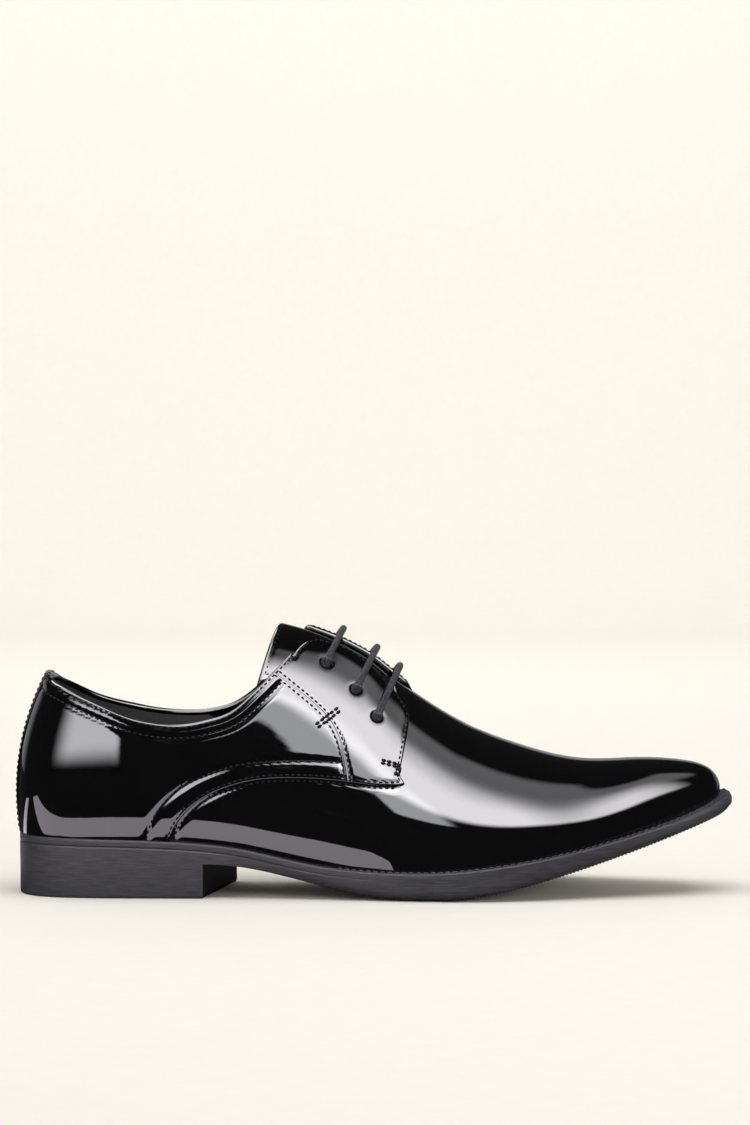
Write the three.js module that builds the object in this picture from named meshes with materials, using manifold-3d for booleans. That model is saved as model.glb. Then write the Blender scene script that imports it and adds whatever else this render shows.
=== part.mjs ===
// A man's patent leather derby dress shoe for the right foot, laced through three pairs of eyelets.
// Millimetres, +X to the toe, -Y the outer side of the foot, +Z up, the floor at zero.
import * as THREE from 'three';
import * as BufferGeometryUtils from 'three/addons/utils/BufferGeometryUtils.js';
import { NURBSSurface } from 'three/addons/curves/NURBSSurface.js';
import Module from 'manifold-3d';

const wasm = await Module();
wasm.setup();

// Driving dimensions
const SHOE_LENGTH = 310;        // sole, from the back of the heel to the toe tip
const BALL_WIDTH = 97;          // upper across the ball of the foot
const BACK_HEIGHT = 95;         // floor to the top of the collar at the back
const INSTEP_HEIGHT = BACK_HEIGHT + 5;  // last ridge above the feather line over the heel
const HEEL_RISE = 14.8;         // lift of the heel seat over the forefoot
const TOE_SPRING = 32.5;        // lift of the feather line at the toe over the forefoot
const SEAT_HEIGHT = 11.5;       // top of the sole over the floor at the ball

// Upper
const WALL = 2;                 // vamp leather and lining together
const QUARTER_STEP = 1.1;       // how far the quarters stand over the vamp
const FACING_LIFT = 1.4;        // further lift of the facings where they lie on the tongue
const TONGUE_RISE = 2.2;        // how far the padded tongue lifts itself and them off the last
const TUCK = 5;                 // how far the vamp runs on under the quarters
const INNER_QUARTER_FORWARD = 4;  // how much further forward the inner quarter reaches
const EYELET_DIAMETER = 3.8;
const TONGUE_THICKNESS = 2.6;
const BACKSTAY_WIDTH = 16;
const BACKSTAY_THICKNESS = 0.8;
const BACKSTAY_FOLD = 11;       // length of the strip folded down inside the collar

// Lace
const LACE_DIAMETER = 2.8;
const LACE_ARCH = 1.4;          // rise of a bar over the facings at its middle
const LACE_LEAN = 0.36;         // how far a bar leans to the toe for each step up
const LACE_IN_HOLE = 2;         // how deep its ends reach into the eyelets
const LACE_SIDES = 8;

// Sole
const HEEL_LEDGE = 1.8;         // sole edge beyond the feather line at the back of the heel
const WAIST_LEDGE = 2.2;        // the same from the waist to the ball
const TOE_LEDGE = 5.2;          // the same at the toe tip
const INSOLE_THICKNESS = 3.2;
const INSOLE_BEVEL = 0.8;       // broken edge around the top of the insole
const HEEL_LENGTH = 83;         // back of the sole to the outer end of the heel breast
const BREAST_SLANT = 14;        // how much further forward the inner end of the breast lies
const BREAST_HOLLOW = 3.5;      // depth of the hollow of the breast
const HEEL_SHARE = 0.7;         // width of the heel as a share of the ball's
const HEEL_BLOCK_HEIGHT = 14.8; // breast height
const FLAT_START = 168;         // forefoot flat spot that stands on the floor
const FLAT_END = 186;
const TIP_LIFT = 36;            // underside of the toe tip over the floor
const SIDE_LINE_DROP = 3.3;     // side line under the top edge of the sole
const SIDE_LINE_DEPTH = 0.45;
const SIDE_LINE_WIDTH = 1.2;
const SOLE_BEVEL = 0.6;         // broken edges around the top of the sole and under the heel
const HEEL_BEVEL_HEIGHT = 0.8;
const BLOCK_INSET = 0.05;       // how far the heel block's side sets in under the sole's
const EDGE_ROUNDING = 4.2;      // rounding of the lower edge of the forefoot

const CLEARANCE = 0.3;          // gap between pieces that touch
const TONGUE_CLEARANCE = 0.6;   // gap between the tongue and the facings over it
const LACE_CLEARANCE = 0.5;     // gap between a lace bar and the facings under it
const TUCKED_IN = 0.25;         // how deep the facings still reach into the vamp's wall

const LEATHER = { color: 0x0b0b0d, roughness: 0.06, metalness: 0 };
const LINING = { color: 0x17171a, roughness: 0.6, metalness: 0 };
const RUBBER = { color: 0x3a393e, roughness: 0.55, metalness: 0 };
const CORD = { color: 0x323236, roughness: 0.65, metalness: 0 };

// Sections of the last from heel to toe. along is a share of the last's length, heelLift of
// HEEL_RISE, toeLift of TOE_SPRING, ridge of INSTEP_HEIGHT. The rest are shares of half the
// BALL_WIDTH: lean of the ridge to the inner side, then the half widths from the feather line up.
const LAST_COLUMNS = ['along', 'heelLift', 'toeLift', 'ridge', 'lean', 'back',
  'outFoot', 'outLow', 'outMid', 'outShoulder', 'outCrown',
  'inFoot', 'inLow', 'inMid', 'inShoulder', 'inCrown'];
const LAST_ROWS = [
  [0.000, 1.000, 0.000, 1.010, 0.000, 1.00,
    0.000, 0.000, 0.000, 0.000, 0.000, 0.000, 0.000, 0.000, 0.000, 0.000],
  [0.000, 1.000, 0.000, 1.010, 0.000, 1.00,
    0.268, 0.289, 0.289, 0.227, 0.082, 0.268, 0.289, 0.289, 0.227, 0.082],
  [0.020, 0.993, 0.000, 1.010, 0.000, 0.95,
    0.526, 0.577, 0.557, 0.433, 0.165, 0.526, 0.577, 0.557, 0.433, 0.165],
  [0.093, 0.966, 0.000, 1.010, 0.010, 0.62,
    0.649, 0.722, 0.701, 0.557, 0.227, 0.639, 0.711, 0.691, 0.557, 0.227],
  [0.199, 0.926, 0.000, 1.000, 0.021, 0.20,
    0.660, 0.732, 0.711, 0.567, 0.247, 0.608, 0.680, 0.680, 0.557, 0.247],
  [0.311, 0.777, 0.000, 0.950, 0.041, 0.00,
    0.670, 0.732, 0.701, 0.546, 0.206, 0.495, 0.577, 0.619, 0.515, 0.227],
  [0.413, 0.203, 0.000, 0.985, 0.072, 0.00,
    0.742, 0.804, 0.742, 0.495, 0.186, 0.485, 0.557, 0.619, 0.505, 0.227],
  [0.516, 0.034, 0.000, 0.840, 0.082, 0.00,
    0.856, 0.928, 0.856, 0.546, 0.186, 0.660, 0.753, 0.763, 0.567, 0.227],
  [0.615, 0.000, 0.031, 0.612, 0.082, 0.00,
    0.948, 1.010, 0.928, 0.588, 0.206, 0.907, 1.000, 0.948, 0.649, 0.247],
  [0.710, 0.000, 0.154, 0.465, 0.062, 0.00,
    0.907, 0.959, 0.876, 0.557, 0.227, 0.990, 1.041, 0.959, 0.619, 0.247],
  [0.799, 0.000, 0.308, 0.340, 0.041, 0.00,
    0.732, 0.773, 0.701, 0.474, 0.227, 0.845, 0.887, 0.804, 0.526, 0.247],
  [0.879, 0.000, 0.508, 0.300, 0.021, 0.00,
    0.567, 0.598, 0.557, 0.412, 0.206, 0.619, 0.649, 0.608, 0.433, 0.206],
  [0.945, 0.000, 0.708, 0.225, 0.010, 0.00,
    0.412, 0.443, 0.433, 0.330, 0.165, 0.433, 0.464, 0.443, 0.340, 0.165],
  [0.987, 0.000, 0.885, 0.142, 0.000, 0.00,
    0.289, 0.309, 0.299, 0.237, 0.124, 0.289, 0.309, 0.299, 0.237, 0.124],
  [1.000, 0.000, 0.970, 0.055, 0.000, 0.00,
    0.155, 0.165, 0.155, 0.124, 0.062, 0.155, 0.165, 0.155, 0.124, 0.062],
  [1.000, 0.000, 1.000, 0.000, 0.000, 0.00,
    0.000, 0.000, 0.000, 0.000, 0.000, 0.000, 0.000, 0.000, 0.000, 0.000],
];
// Heights of the five width columns as shares of the section, and how far the back of the heel
// sets in at each, as shares of BACK_HEIGHT
const LEVELS = ['Foot', 'Low', 'Mid', 'Shoulder', 'Crown'];
const LEVEL_HEIGHT = { Foot: 0, Low: 0.15, Mid: 0.42, Shoulder: 0.8, Crown: 1 };
const BACK_SETBACK = { Foot: 0, Low: -0.021, Mid: -0.008, Shoulder: 0.179, Crown: 0.358 };

// Edge of the quarters seen from the side, from the feather line along the arc to the facing's
// front corner and up its front edge: along is a share of SHOE_LENGTH, height of BACK_HEIGHT
const QUARTER_EDGE = [
  [0.214, 0.150], [0.219, 0.284], [0.236, 0.379], [0.261, 0.450], [0.296, 0.505], [0.343, 0.541],
  [0.404, 0.547], [0.457, 0.535], [0.501, 0.519], [0.538, 0.522], [0.533, 0.567], [0.538, 0.656],
  [0.543, 0.732], [0.547, 0.806], [0.544, 0.870], [0.537, 0.930], [0.515, 1.060], [0.470, 1.500],
];
// Topline seen from the side, from the back to the top of the facing, in the same shares;
// the inner side stands a little higher over the ankle
const TOPLINE = [
  { along: -0.040, outer: 1.000, inner: 1.000 },
  { along: 0.034, outer: 0.998, inner: 0.998 },
  { along: 0.058, outer: 0.964, inner: 0.958 },
  { along: 0.106, outer: 0.894, inner: 0.880 },
  { along: 0.159, outer: 0.822, inner: 0.835 },
  { along: 0.194, outer: 0.795, inner: 0.815 },
  { along: 0.230, outer: 0.786, inner: 0.808 },
  { along: 0.264, outer: 0.803, inner: 0.815 },
  { along: 0.300, outer: 0.843, inner: 0.850 },
  { along: 0.334, outer: 0.939, inner: 0.935 },
  { along: 0.358, outer: 1.018, inner: 1.040 },
  { along: 0.385, outer: 1.107, inner: 1.140 },
  { along: 0.402, outer: 1.160, inner: 1.215 },
  { along: 0.425, outer: 1.245, inner: 1.310 },
  { along: 0.450, outer: 1.400, inner: 1.450 },
];
// Opening between the facings seen from above: its edges from the middle of the shoe as shares
// of BALL_WIDTH; the outer facing is cut away in a long curve towards its front corner
const THROAT = [
  { along: 0.385, outer: 0.210, inner: 0.130 },
  { along: 0.400, outer: 0.155, inner: 0.118 },
  { along: 0.417, outer: 0.112, inner: 0.110 },
  { along: 0.441, outer: 0.096, inner: 0.104 },
  { along: 0.471, outer: 0.088, inner: 0.099 },
  { along: 0.492, outer: 0.108, inner: 0.094 },
  { along: 0.508, outer: 0.125, inner: 0.088 },
  { along: 0.528, outer: 0.150, inner: 0.080 },
  { along: 0.545, outer: 0.200, inner: 0.074 },
  { along: 0.560, outer: 0.260, inner: 0.070 },
];
// Eyelets from the top down: along is a share of SHOE_LENGTH, height of BACK_HEIGHT
const EYELETS = [
  { along: 0.428, height: 1.028 }, { along: 0.470, height: 0.915 }, { along: 0.500, height: 0.803 },
];
// Tongue: its top edge and its side edges around the last, from 0 at the feather line to 0.5 at
// the ridge; its front end meets the vamp
const TONGUE = {
  topAlong: 0.365, topSideAlong: 0.337, frontAlong: 0.520, frontSideAlong: 0.526,
  topEdge: 0.235, frontEdge: 0.37,
};

// Where the facings lie: around the last on each side of the ridge, and along SHOE_LENGTH
const FACING = { reach: 0.12, fade: 0.26, start: 0.2, startFade: 0.16 };
// Where the lift over the tongue dies out towards the vamp
const TONGUE_END = { start: 0.475, fade: 0.07 };
// Where the sole's ledge widens, in shares of SHOE_LENGTH
const LEDGE_STEPS = { waist: 0.42, waistRun: 0.16, toe: 0.75, toeRun: 0.24 };
const SPRING_CURVE = 1.4;       // how late the underside rises to the toe tip
const TUCK_RISE = 0.8;          // share of TUCK by which the vamp's hidden edge also lies higher

// Small helpers
const mix = (a, b, t) => a + (b - a) * t;
const clamp01 = (t) => Math.min(Math.max(t, 0), 1);
const smooth = (t) => {
  const s = clamp01(t);
  return s * s * (3 - 2 * s);
};
const spacing = (count) => Array.from({ length: count + 1 }, (_, i) => i / count);

// Solids
function solidOf(geometry) {
  const bare = geometry.clone();
  for (const name of Object.keys(bare.attributes)) {
    if (name !== 'position') bare.deleteAttribute(name);
  }
  const merged = BufferGeometryUtils.mergeVertices(bare, 1e-3);
  const index = [];
  const source = merged.index.array;
  for (let i = 0; i < source.length; i += 3) {
    const [a, b, c] = [source[i], source[i + 1], source[i + 2]];
    if (a !== b && b !== c && c !== a) index.push(a, b, c);
  }
  return new wasm.Manifold(new wasm.Mesh({
    numProp: 3,
    vertProperties: new Float32Array(merged.attributes.position.array),
    triVerts: new Uint32Array(index),
  }));
}
function geometryOf(solid) {
  const mesh = solid.getMesh();
  const geometry = new THREE.BufferGeometry();
  const places = new THREE.BufferAttribute(new Float32Array(mesh.vertProperties), 3);
  geometry.setAttribute('position', places);
  geometry.setIndex(new THREE.BufferAttribute(new Uint32Array(mesh.triVerts), 1));
  geometry.computeVertexNormals();
  return geometry;
}
function meshOf(name, geometry, look) {
  const mesh = new THREE.Mesh(geometry, new THREE.MeshStandardMaterial(look));
  mesh.name = name;
  return mesh;
}
function geometryFrom(points, faces) {
  const geometry = new THREE.BufferGeometry();
  const places = new THREE.Float32BufferAttribute(points.flatMap((p) => p.toArray()), 3);
  geometry.setAttribute('position', places);
  geometry.setIndex(faces.flat());
  return geometry;
}

// The last as one smooth surface, u from heel to toe and v around it from the outer feather line
// over the ridge to the inner one
const LAST_LENGTH = SHOE_LENGTH - HEEL_LEDGE - TOE_LEDGE;
const HALF_BALL = BALL_WIDTH / 2;
function evenKnots(count) {
  const spans = count - 3;
  const inner = Array.from({ length: spans - 1 }, (_, i) => (i + 1) / spans);
  return [0, 0, 0, 0, ...inner, 1, 1, 1, 1];
}
function lastRow(values) {
  const row = Object.fromEntries(LAST_COLUMNS.map((name, i) => [name, values[i]]));
  const feather = SEAT_HEIGHT + row.heelLift * HEEL_RISE + row.toeLift * TOE_SPRING;
  const point = (level, side, width) => new THREE.Vector4(
    HEEL_LEDGE + row.along * LAST_LENGTH + row.back * BACK_SETBACK[level] * BACK_HEIGHT,
    (side * width + (level === 'Crown' ? row.lean : 0)) * HALF_BALL,
    feather + row.ridge * INSTEP_HEIGHT * LEVEL_HEIGHT[level],
    1,
  );
  return [
    ...LEVELS.map((level) => point(level, -1, row['out' + level])),
    point('Crown', 0, 0),
    ...[...LEVELS].reverse().map((level) => point(level, 1, row['in' + level])),
  ];
}
const net = LAST_ROWS.map(lastRow);
const last = new NURBSSurface(3, 3, evenKnots(net.length), evenKnots(net[0].length), net);
function lastPoint(u, v) {
  const point = new THREE.Vector3();
  last.getPoint(clamp01(u), clamp01(v), point);
  return point;
}
function lastNormal(u, v) {
  if (u > 0.999) return new THREE.Vector3(1, 0, 0);
  const step = 1e-3;
  const alongV = lastPoint(u, v + step).sub(lastPoint(u, v - step));
  if (u < 0.001) {
    const up = v < 0.5 ? alongV : alongV.negate();
    if (up.length() < 1e-6) return new THREE.Vector3(-1, 0, 0);
    return new THREE.Vector3(-up.z, 0, up.x).normalize();
  }
  const alongU = lastPoint(u + step, v).sub(lastPoint(u - step, v));
  return alongU.cross(alongV).normalize();
}
function onLast(u, v, offset) {
  const point = lastPoint(u, v).addScaledVector(lastNormal(u, v), offset);
  const foot = lastPoint(u, v < 0.5 ? 0 : 1);
  point.z = Math.max(point.z, foot.z);
  return point;
}
function bisect(low, high, below) {
  for (let i = 0; i < 30; i += 1) {
    const middle = (low + high) / 2;
    if (below(middle)) low = middle;
    else high = middle;
  }
  return (low + high) / 2;
}
const stationAt = (x, v) => bisect(0, 1, (u) => lastPoint(u, v).x < x);
const heightAt = (x, z) => bisect(0, 0.5, (v) => lastPoint(stationAt(x, v), v).z < z);

// Shell around the last between two offsets, open underneath
const HEEL_END = 0.14;          // stations lie closer together behind this share and past the next
const TOE_END = 0.9;
const STATIONS = [
  ...spacing(7).map((t) => HEEL_END * t * t * (2 - t)),
  ...spacing(22).slice(1).map((t) => mix(HEEL_END, TOE_END, t)),
  ...spacing(8).slice(1).map((t) => mix(TOE_END, 1, t * (2 - t))),
];
const AROUND = spacing(26);
function shell(outerOffset, innerOffset) {
  const points = [];
  const faces = [];
  const columns = AROUND.length;
  const rows = STATIONS.length;
  for (const offset of [outerOffset, innerOffset]) {
    for (const u of STATIONS) {
      for (const v of AROUND) points.push(onLast(u, v, offset(u, v)));
    }
  }
  const at = (layer, i, j) => (layer * rows + i) * columns + j;
  for (let i = 0; i + 1 < rows; i += 1) {
    for (let j = 0; j + 1 < columns; j += 1) {
      const [a, b, c, d] = [at(0, i, j), at(0, i + 1, j), at(0, i + 1, j + 1), at(0, i, j + 1)];
      faces.push([a, b, c], [a, c, d]);
      const [e, f, g, h] = [at(1, i, j), at(1, i + 1, j), at(1, i + 1, j + 1), at(1, i, j + 1)];
      faces.push([e, g, f], [e, h, g]);
    }
    for (const [j, turn] of [[0, false], [columns - 1, true]]) {
      const [a, b, c, d] = [at(0, i, j), at(0, i + 1, j), at(1, i + 1, j), at(1, i, j)];
      if (turn) faces.push([a, b, c], [a, c, d]);
      else faces.push([a, c, b], [a, d, c]);
    }
  }
  return solidOf(geometryFrom(points, faces));
}

// Prism through the shoe: an outline seen from the side, or from above
function sidePrism(outline, nearY, farY) {
  const shape = new THREE.Shape(outline);
  const geometry = new THREE.ExtrudeGeometry(shape, { depth: farY - nearY, bevelEnabled: false });
  geometry.rotateX(Math.PI / 2);
  geometry.translate(0, farY, 0);
  return solidOf(geometry);
}
function smoothLine(points, count) {
  return new THREE.SplineCurve(points).getPoints(count);
}
const sidePoint = (along, height) => new THREE.Vector2(along * SHOE_LENGTH, height * BACK_HEIGHT);
const FAR = SHOE_LENGTH;

function quarterPrism(outerTuck, innerTuck) {
  return quarterHalf(outerTuck, -FAR, 0).add(quarterHalf(innerTuck, 0, FAR));
}
function quarterHalf(shift, nearY, farY) {
  const edge = smoothLine(QUARTER_EDGE.map(([along, height]) => sidePoint(along, height)), 48);
  const rise = Math.max(shift, 0) * TUCK_RISE;
  const moved = edge.map((point) => new THREE.Vector2(point.x - shift, point.y + rise));
  const [start, end] = [moved[0], moved.at(-1)];
  const outline = [
    new THREE.Vector2(-FAR, start.y - FAR),
    new THREE.Vector2(start.x, start.y - FAR),
    ...moved,
    new THREE.Vector2(end.x, FAR),
    new THREE.Vector2(-FAR, FAR),
  ];
  return sidePrism(outline, nearY, farY);
}
const topline = (name) => smoothLine(TOPLINE.map((row) => sidePoint(row.along, row[name])), 40);
function collarPrism(name, nearY, farY) {
  const line = topline(name);
  const [start, end] = [line[0], line.at(-1)];
  const outline = [
    ...line,
    new THREE.Vector2(end.x, FAR),
    new THREE.Vector2(start.x - FAR, FAR),
    new THREE.Vector2(start.x - FAR, start.y),
  ];
  return sidePrism(outline, nearY, farY);
}
function throatPrism() {
  const edge = (name, turn) => smoothLine(THROAT.map((row) => (
    new THREE.Vector2(row.along * SHOE_LENGTH, turn * row[name] * BALL_WIDTH))), 20);
  const shape = new THREE.Shape([...edge('outer', -1), ...edge('inner', 1).reverse()]);
  const geometry = new THREE.ExtrudeGeometry(shape, { depth: FAR, bevelEnabled: false });
  return solidOf(geometry);
}

// Upper
const facingShare = (u, v) => {
  const beside = 1 - smooth((Math.abs(v - 0.5) - FACING.reach) / FACING.fade);
  const along = lastPoint(u, v).x / SHOE_LENGTH;
  return beside * smooth((along - FACING.start) / FACING.startFade);
};
const tongueRise = (u, v) => {
  const along = lastPoint(u, v).x / SHOE_LENGTH;
  return TONGUE_RISE * facingShare(u, v) * (1 - smooth((along - TONGUE_END.start) / TONGUE_END.fade));
};
const quarterOuter = (u, v) => (
  QUARTER_STEP + FACING_LIFT * facingShare(u, v) + tongueRise(u, v));
const quarterInner = (u, v) => (
  -WALL + (WALL - TUCKED_IN) * facingShare(u, v) + tongueRise(u, v));

function findEyelets() {
  return EYELETS.map(({ along, height }) => {
    const [x, z] = [along * SHOE_LENGTH, height * BACK_HEIGHT];
    const v = heightAt(x, z);
    const u = stationAt(x, v);
    const [outer, inner] = [v, 1 - v].map((around) => ({
      centre: onLast(u, around, quarterOuter(u, around)),
      normal: lastNormal(u, around),
    }));
    return { along: x, around: v, outer, inner };
  });
}
const eyelets = findEyelets();
function punch(frame) {
  const depth = 4 * (WALL + QUARTER_STEP + FACING_LIFT);
  const radius = EYELET_DIAMETER / 2;
  const geometry = new THREE.CylinderGeometry(radius, radius, depth, 16);
  const turn = new THREE.Quaternion().setFromUnitVectors(new THREE.Vector3(0, 1, 0), frame.normal);
  geometry.applyQuaternion(turn);
  geometry.translate(frame.centre.x, frame.centre.y, frame.centre.z);
  return solidOf(geometry);
}
function makeUpper() {
  let quarters = shell(quarterOuter, quarterInner).intersect(quarterPrism(0, -INNER_QUARTER_FORWARD));
  quarters = quarters.subtract(throatPrism());
  const vamp = shell(() => 0, () => -WALL).subtract(quarterPrism(TUCK, TUCK));
  let upper = quarters.add(vamp);
  upper = upper.subtract(collarPrism('outer', -FAR, 0)).subtract(collarPrism('inner', 0, FAR));
  for (const { outer, inner } of eyelets) {
    upper = upper.subtract(punch(outer)).subtract(punch(inner));
  }
  return upper;
}

// Closed sheet over the last, its outer layer 0 and inner layer 1 placed by shares along and across
function sheet(rows, columns, place) {
  const points = [];
  const faces = [];
  for (const layer of [0, 1]) {
    for (let i = 0; i <= rows; i += 1) {
      for (let j = 0; j <= columns; j += 1) points.push(place(i / rows, j / columns, layer));
    }
  }
  const at = (layer, i, j) => (layer * (rows + 1) + i) * (columns + 1) + j;
  const square = (a, b, c, d) => faces.push([a, b, c], [a, c, d]);
  for (let i = 0; i < rows; i += 1) {
    const k = i + 1;
    for (let j = 0; j < columns; j += 1) {
      const m = j + 1;
      square(at(0, i, j), at(0, k, j), at(0, k, m), at(0, i, m));
      square(at(1, i, m), at(1, k, m), at(1, k, j), at(1, i, j));
    }
    square(at(0, i, 0), at(1, i, 0), at(1, k, 0), at(0, k, 0));
    square(at(0, k, columns), at(1, k, columns), at(1, i, columns), at(0, i, columns));
  }
  for (let j = 0; j < columns; j += 1) {
    const m = j + 1;
    square(at(0, 0, m), at(1, 0, m), at(1, 0, j), at(0, 0, j));
    square(at(0, rows, j), at(1, rows, j), at(1, rows, m), at(0, rows, m));
  }
  return solidOf(geometryFrom(points, faces));
}
function makeTongue() {
  return sheet(14, 14, (s, t, layer) => {
    const reach = mix(TONGUE.topEdge, TONGUE.frontEdge, s);
    const v = mix(reach, 1 - reach, t);
    const toSide = (2 * t - 1) ** 2;
    const top = mix(TONGUE.topAlong, TONGUE.topSideAlong, toSide);
    const front = mix(TONGUE.frontAlong, TONGUE.frontSideAlong, toSide);
    const u = stationAt(mix(top, front, s) * SHOE_LENGTH - CLEARANCE, v);
    return onLast(u, v, quarterInner(u, v) - TONGUE_CLEARANCE - layer * TONGUE_THICKNESS);
  });
}

// Sole outline seen from above, once around from the back, taken from the feather line
const feather = [
  ...STATIONS.map((u) => lastPoint(u, 0)),
  ...STATIONS.slice(1, -1).reverse().map((u) => lastPoint(u, 1)),
];
function featherNormal(i) {
  const count = feather.length;
  const along = feather[(i + 1) % count].clone().sub(feather[(i + count - 1) % count]);
  return new THREE.Vector3(along.y, -along.x, 0).normalize();
}
const ledgeAt = (x) => {
  const along = x / SHOE_LENGTH;
  const fore = smooth((along - LEDGE_STEPS.waist) / LEDGE_STEPS.waistRun);
  const toe = smooth((along - LEDGE_STEPS.toe) / LEDGE_STEPS.toeRun);
  return mix(mix(HEEL_LEDGE, WAIST_LEDGE, fore), TOE_LEDGE, toe);
};
const foreShare = (x) => smooth((x - HEEL_LENGTH) / (FLAT_START - HEEL_LENGTH));
const bottomAt = (x) => {
  if (x < FLAT_END) return HEEL_BLOCK_HEIGHT * smooth((FLAT_START - x) / (FLAT_START - HEEL_LENGTH));
  return TIP_LIFT * ((x - FLAT_END) / (SHOE_LENGTH - FLAT_END)) ** SPRING_CURVE;
};
function loopSolid(rings) {
  const count = feather.length;
  const points = rings.flat();
  const faces = [];
  for (let k = 0; k + 1 < rings.length; k += 1) {
    for (let i = 0; i < count; i += 1) {
      const next = (i + 1) % count;
      const [a, b] = [k * count + i, k * count + next];
      faces.push([a, b + count, b], [a, a + count, b + count]);
    }
  }
  const base = (rings.length - 1) * count;
  for (let i = 0; i < count / 2; i += 1) {
    const [near, far] = [(count - i) % count, count - i - 1];
    faces.push([i, i + 1, far], [i, far, near]);
    faces.push([base + i, base + far, base + i + 1], [base + i, base + near, base + far]);
  }
  return solidOf(geometryFrom(points, faces));
}
// Side of the sole from its top edge down: drop in millimetres or as a share of the thickness
const SIDE_ROWS = [
  { drop: 0, share: 0, inset: SOLE_BEVEL, foreInset: SOLE_BEVEL },
  { drop: SOLE_BEVEL, share: 0, inset: 0, foreInset: 0 },
  { drop: SIDE_LINE_DROP - SIDE_LINE_WIDTH / 2, share: 0, inset: 0, foreInset: 0 },
  { drop: SIDE_LINE_DROP, share: 0, inset: SIDE_LINE_DEPTH, foreInset: 0 },
  { drop: SIDE_LINE_DROP + SIDE_LINE_WIDTH / 2, share: 0, inset: 0, foreInset: 0 },
  { drop: -EDGE_ROUNDING, share: 1, inset: 0, foreInset: EDGE_ROUNDING * 0.05 },
  { drop: -EDGE_ROUNDING * 0.5, share: 1, inset: 0, foreInset: EDGE_ROUNDING * 0.3 },
  { drop: -EDGE_ROUNDING * 0.2, share: 1, inset: 0, foreInset: EDGE_ROUNDING * 1.1 },
  { drop: 0, share: 1, inset: SOLE_BEVEL, foreInset: EDGE_ROUNDING * 2.4 },
];
function soleRing(row) {
  return feather.map((point, i) => {
    const normal = featherNormal(i);
    const fore = foreShare(point.x);
    const out = ledgeAt(point.x) - mix(row.inset, row.foreInset, fore);
    const edge = point.clone().addScaledVector(normal, out);
    const top = point.z - CLEARANCE;
    const bottom = bottomAt(edge.x);
    edge.z = top - row.drop - row.share * (top - bottom);
    return edge;
  });
}
function makeSole() {
  const body = loopSolid(SIDE_ROWS.map(soleRing));
  const heelRing = (inset, heightOf) => feather.map((point, i) => {
    const edge = point.clone().addScaledVector(featherNormal(i), ledgeAt(point.x) - inset);
    edge.z = heightOf(point);
    return edge;
  });
  const underLine = (point) => point.z - CLEARANCE - SIDE_LINE_DROP - SIDE_LINE_WIDTH;
  const block = loopSolid([
    heelRing(BLOCK_INSET, (point) => Math.min(HEEL_BLOCK_HEIGHT * 1.2, underLine(point))),
    heelRing(BLOCK_INSET, () => HEEL_BEVEL_HEIGHT),
    heelRing(SOLE_BEVEL, () => 0),
  ]);
  return body.add(block.subtract(breastPrism()));
}
// Everything in front of the heel breast; the heel is HEEL_SHARE of the ball's width
function breastPrism() {
  const line = [-1.2, -0.8, -0.4, 0, 0.4, 0.8, 1.2].map((t) => {
    const across = (t + HEEL_SHARE) / (2 * HEEL_SHARE);
    const hollow = BREAST_HOLLOW * (1 - t * t);
    return new THREE.Vector2(HEEL_LENGTH + BREAST_SLANT * across - hollow, t * HALF_BALL);
  });
  const outline = [
    ...line,
    new THREE.Vector2(FAR * 2, line.at(-1).y),
    new THREE.Vector2(FAR * 2, line[0].y),
  ];
  const shape = new THREE.Shape(outline);
  const geometry = new THREE.ExtrudeGeometry(shape, { depth: FAR, bevelEnabled: false });
  geometry.translate(0, 0, -FAR / 2);
  return solidOf(geometry);
}

function makeInsole() {
  const inset = WALL + 2 * CLEARANCE;
  const ring = (extra, lift) => feather.map((point, i) => {
    const edge = point.clone().addScaledVector(featherNormal(i), -inset - extra);
    edge.z = point.z + lift;
    return edge;
  });
  return loopSolid([
    ring(INSOLE_BEVEL, INSOLE_THICKNESS),
    ring(0, INSOLE_THICKNESS - INSOLE_BEVEL),
    ring(0, 0),
  ]);
}

// Strip over the back seam, folded over the collar and down inside it
function toplineHeight(x) {
  const line = topline('outer');
  const next = Math.max(line.findIndex((point) => point.x > x), 1);
  const [a, b] = [line[next - 1], line[next]];
  return mix(a.y, b.y, clamp01((x - a.x) / (b.x - a.x)));
}
function makeBackstay() {
  const [up, over, down] = [8, 4, 3];
  const rows = up + over + down;
  return sheet(rows, 6, (s, t, layer) => {
    const y = mix(-BACKSTAY_WIDTH / 2, BACKSTAY_WIDTH / 2, t);
    const around = (v) => (y < 0 ? v : 1 - v);
    const station = (v) => bisect(0, 0.3, (u) => Math.abs(lastPoint(u, around(v)).y) < Math.abs(y));
    const top = bisect(0, 0.4, (v) => {
      const point = lastPoint(station(v), around(v));
      return point.z < toplineHeight(point.x);
    });
    const row = Math.round(s * rows);
    const lift = CLEARANCE + (1 - layer) * BACKSTAY_THICKNESS;
    const outside = QUARTER_STEP + lift;
    const inside = -WALL - lift - CLEARANCE;
    if (row <= up) {
      const v = mix(0, top, row / up);
      return onLast(station(v), around(v), outside);
    }
    if (row < up + over) {
      const turn = (row - up) / over * Math.PI;
      const bulge = Math.sign(Math.cos(turn)) * Math.sqrt(Math.abs(Math.cos(turn)));
      const point = onLast(station(top), around(top), mix(inside, outside, 0.5 + bulge / 2));
      point.z += lift * Math.sqrt(Math.sin(turn));
      return point;
    }
    const depth = (row - up - over) / down * BACKSTAY_FOLD;
    const rim = lastPoint(station(top), around(top)).z;
    const v = bisect(0, top, (w) => lastPoint(station(w), around(w)).z < rim - depth);
    return onLast(station(v), around(v), inside);
  });
}

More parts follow.
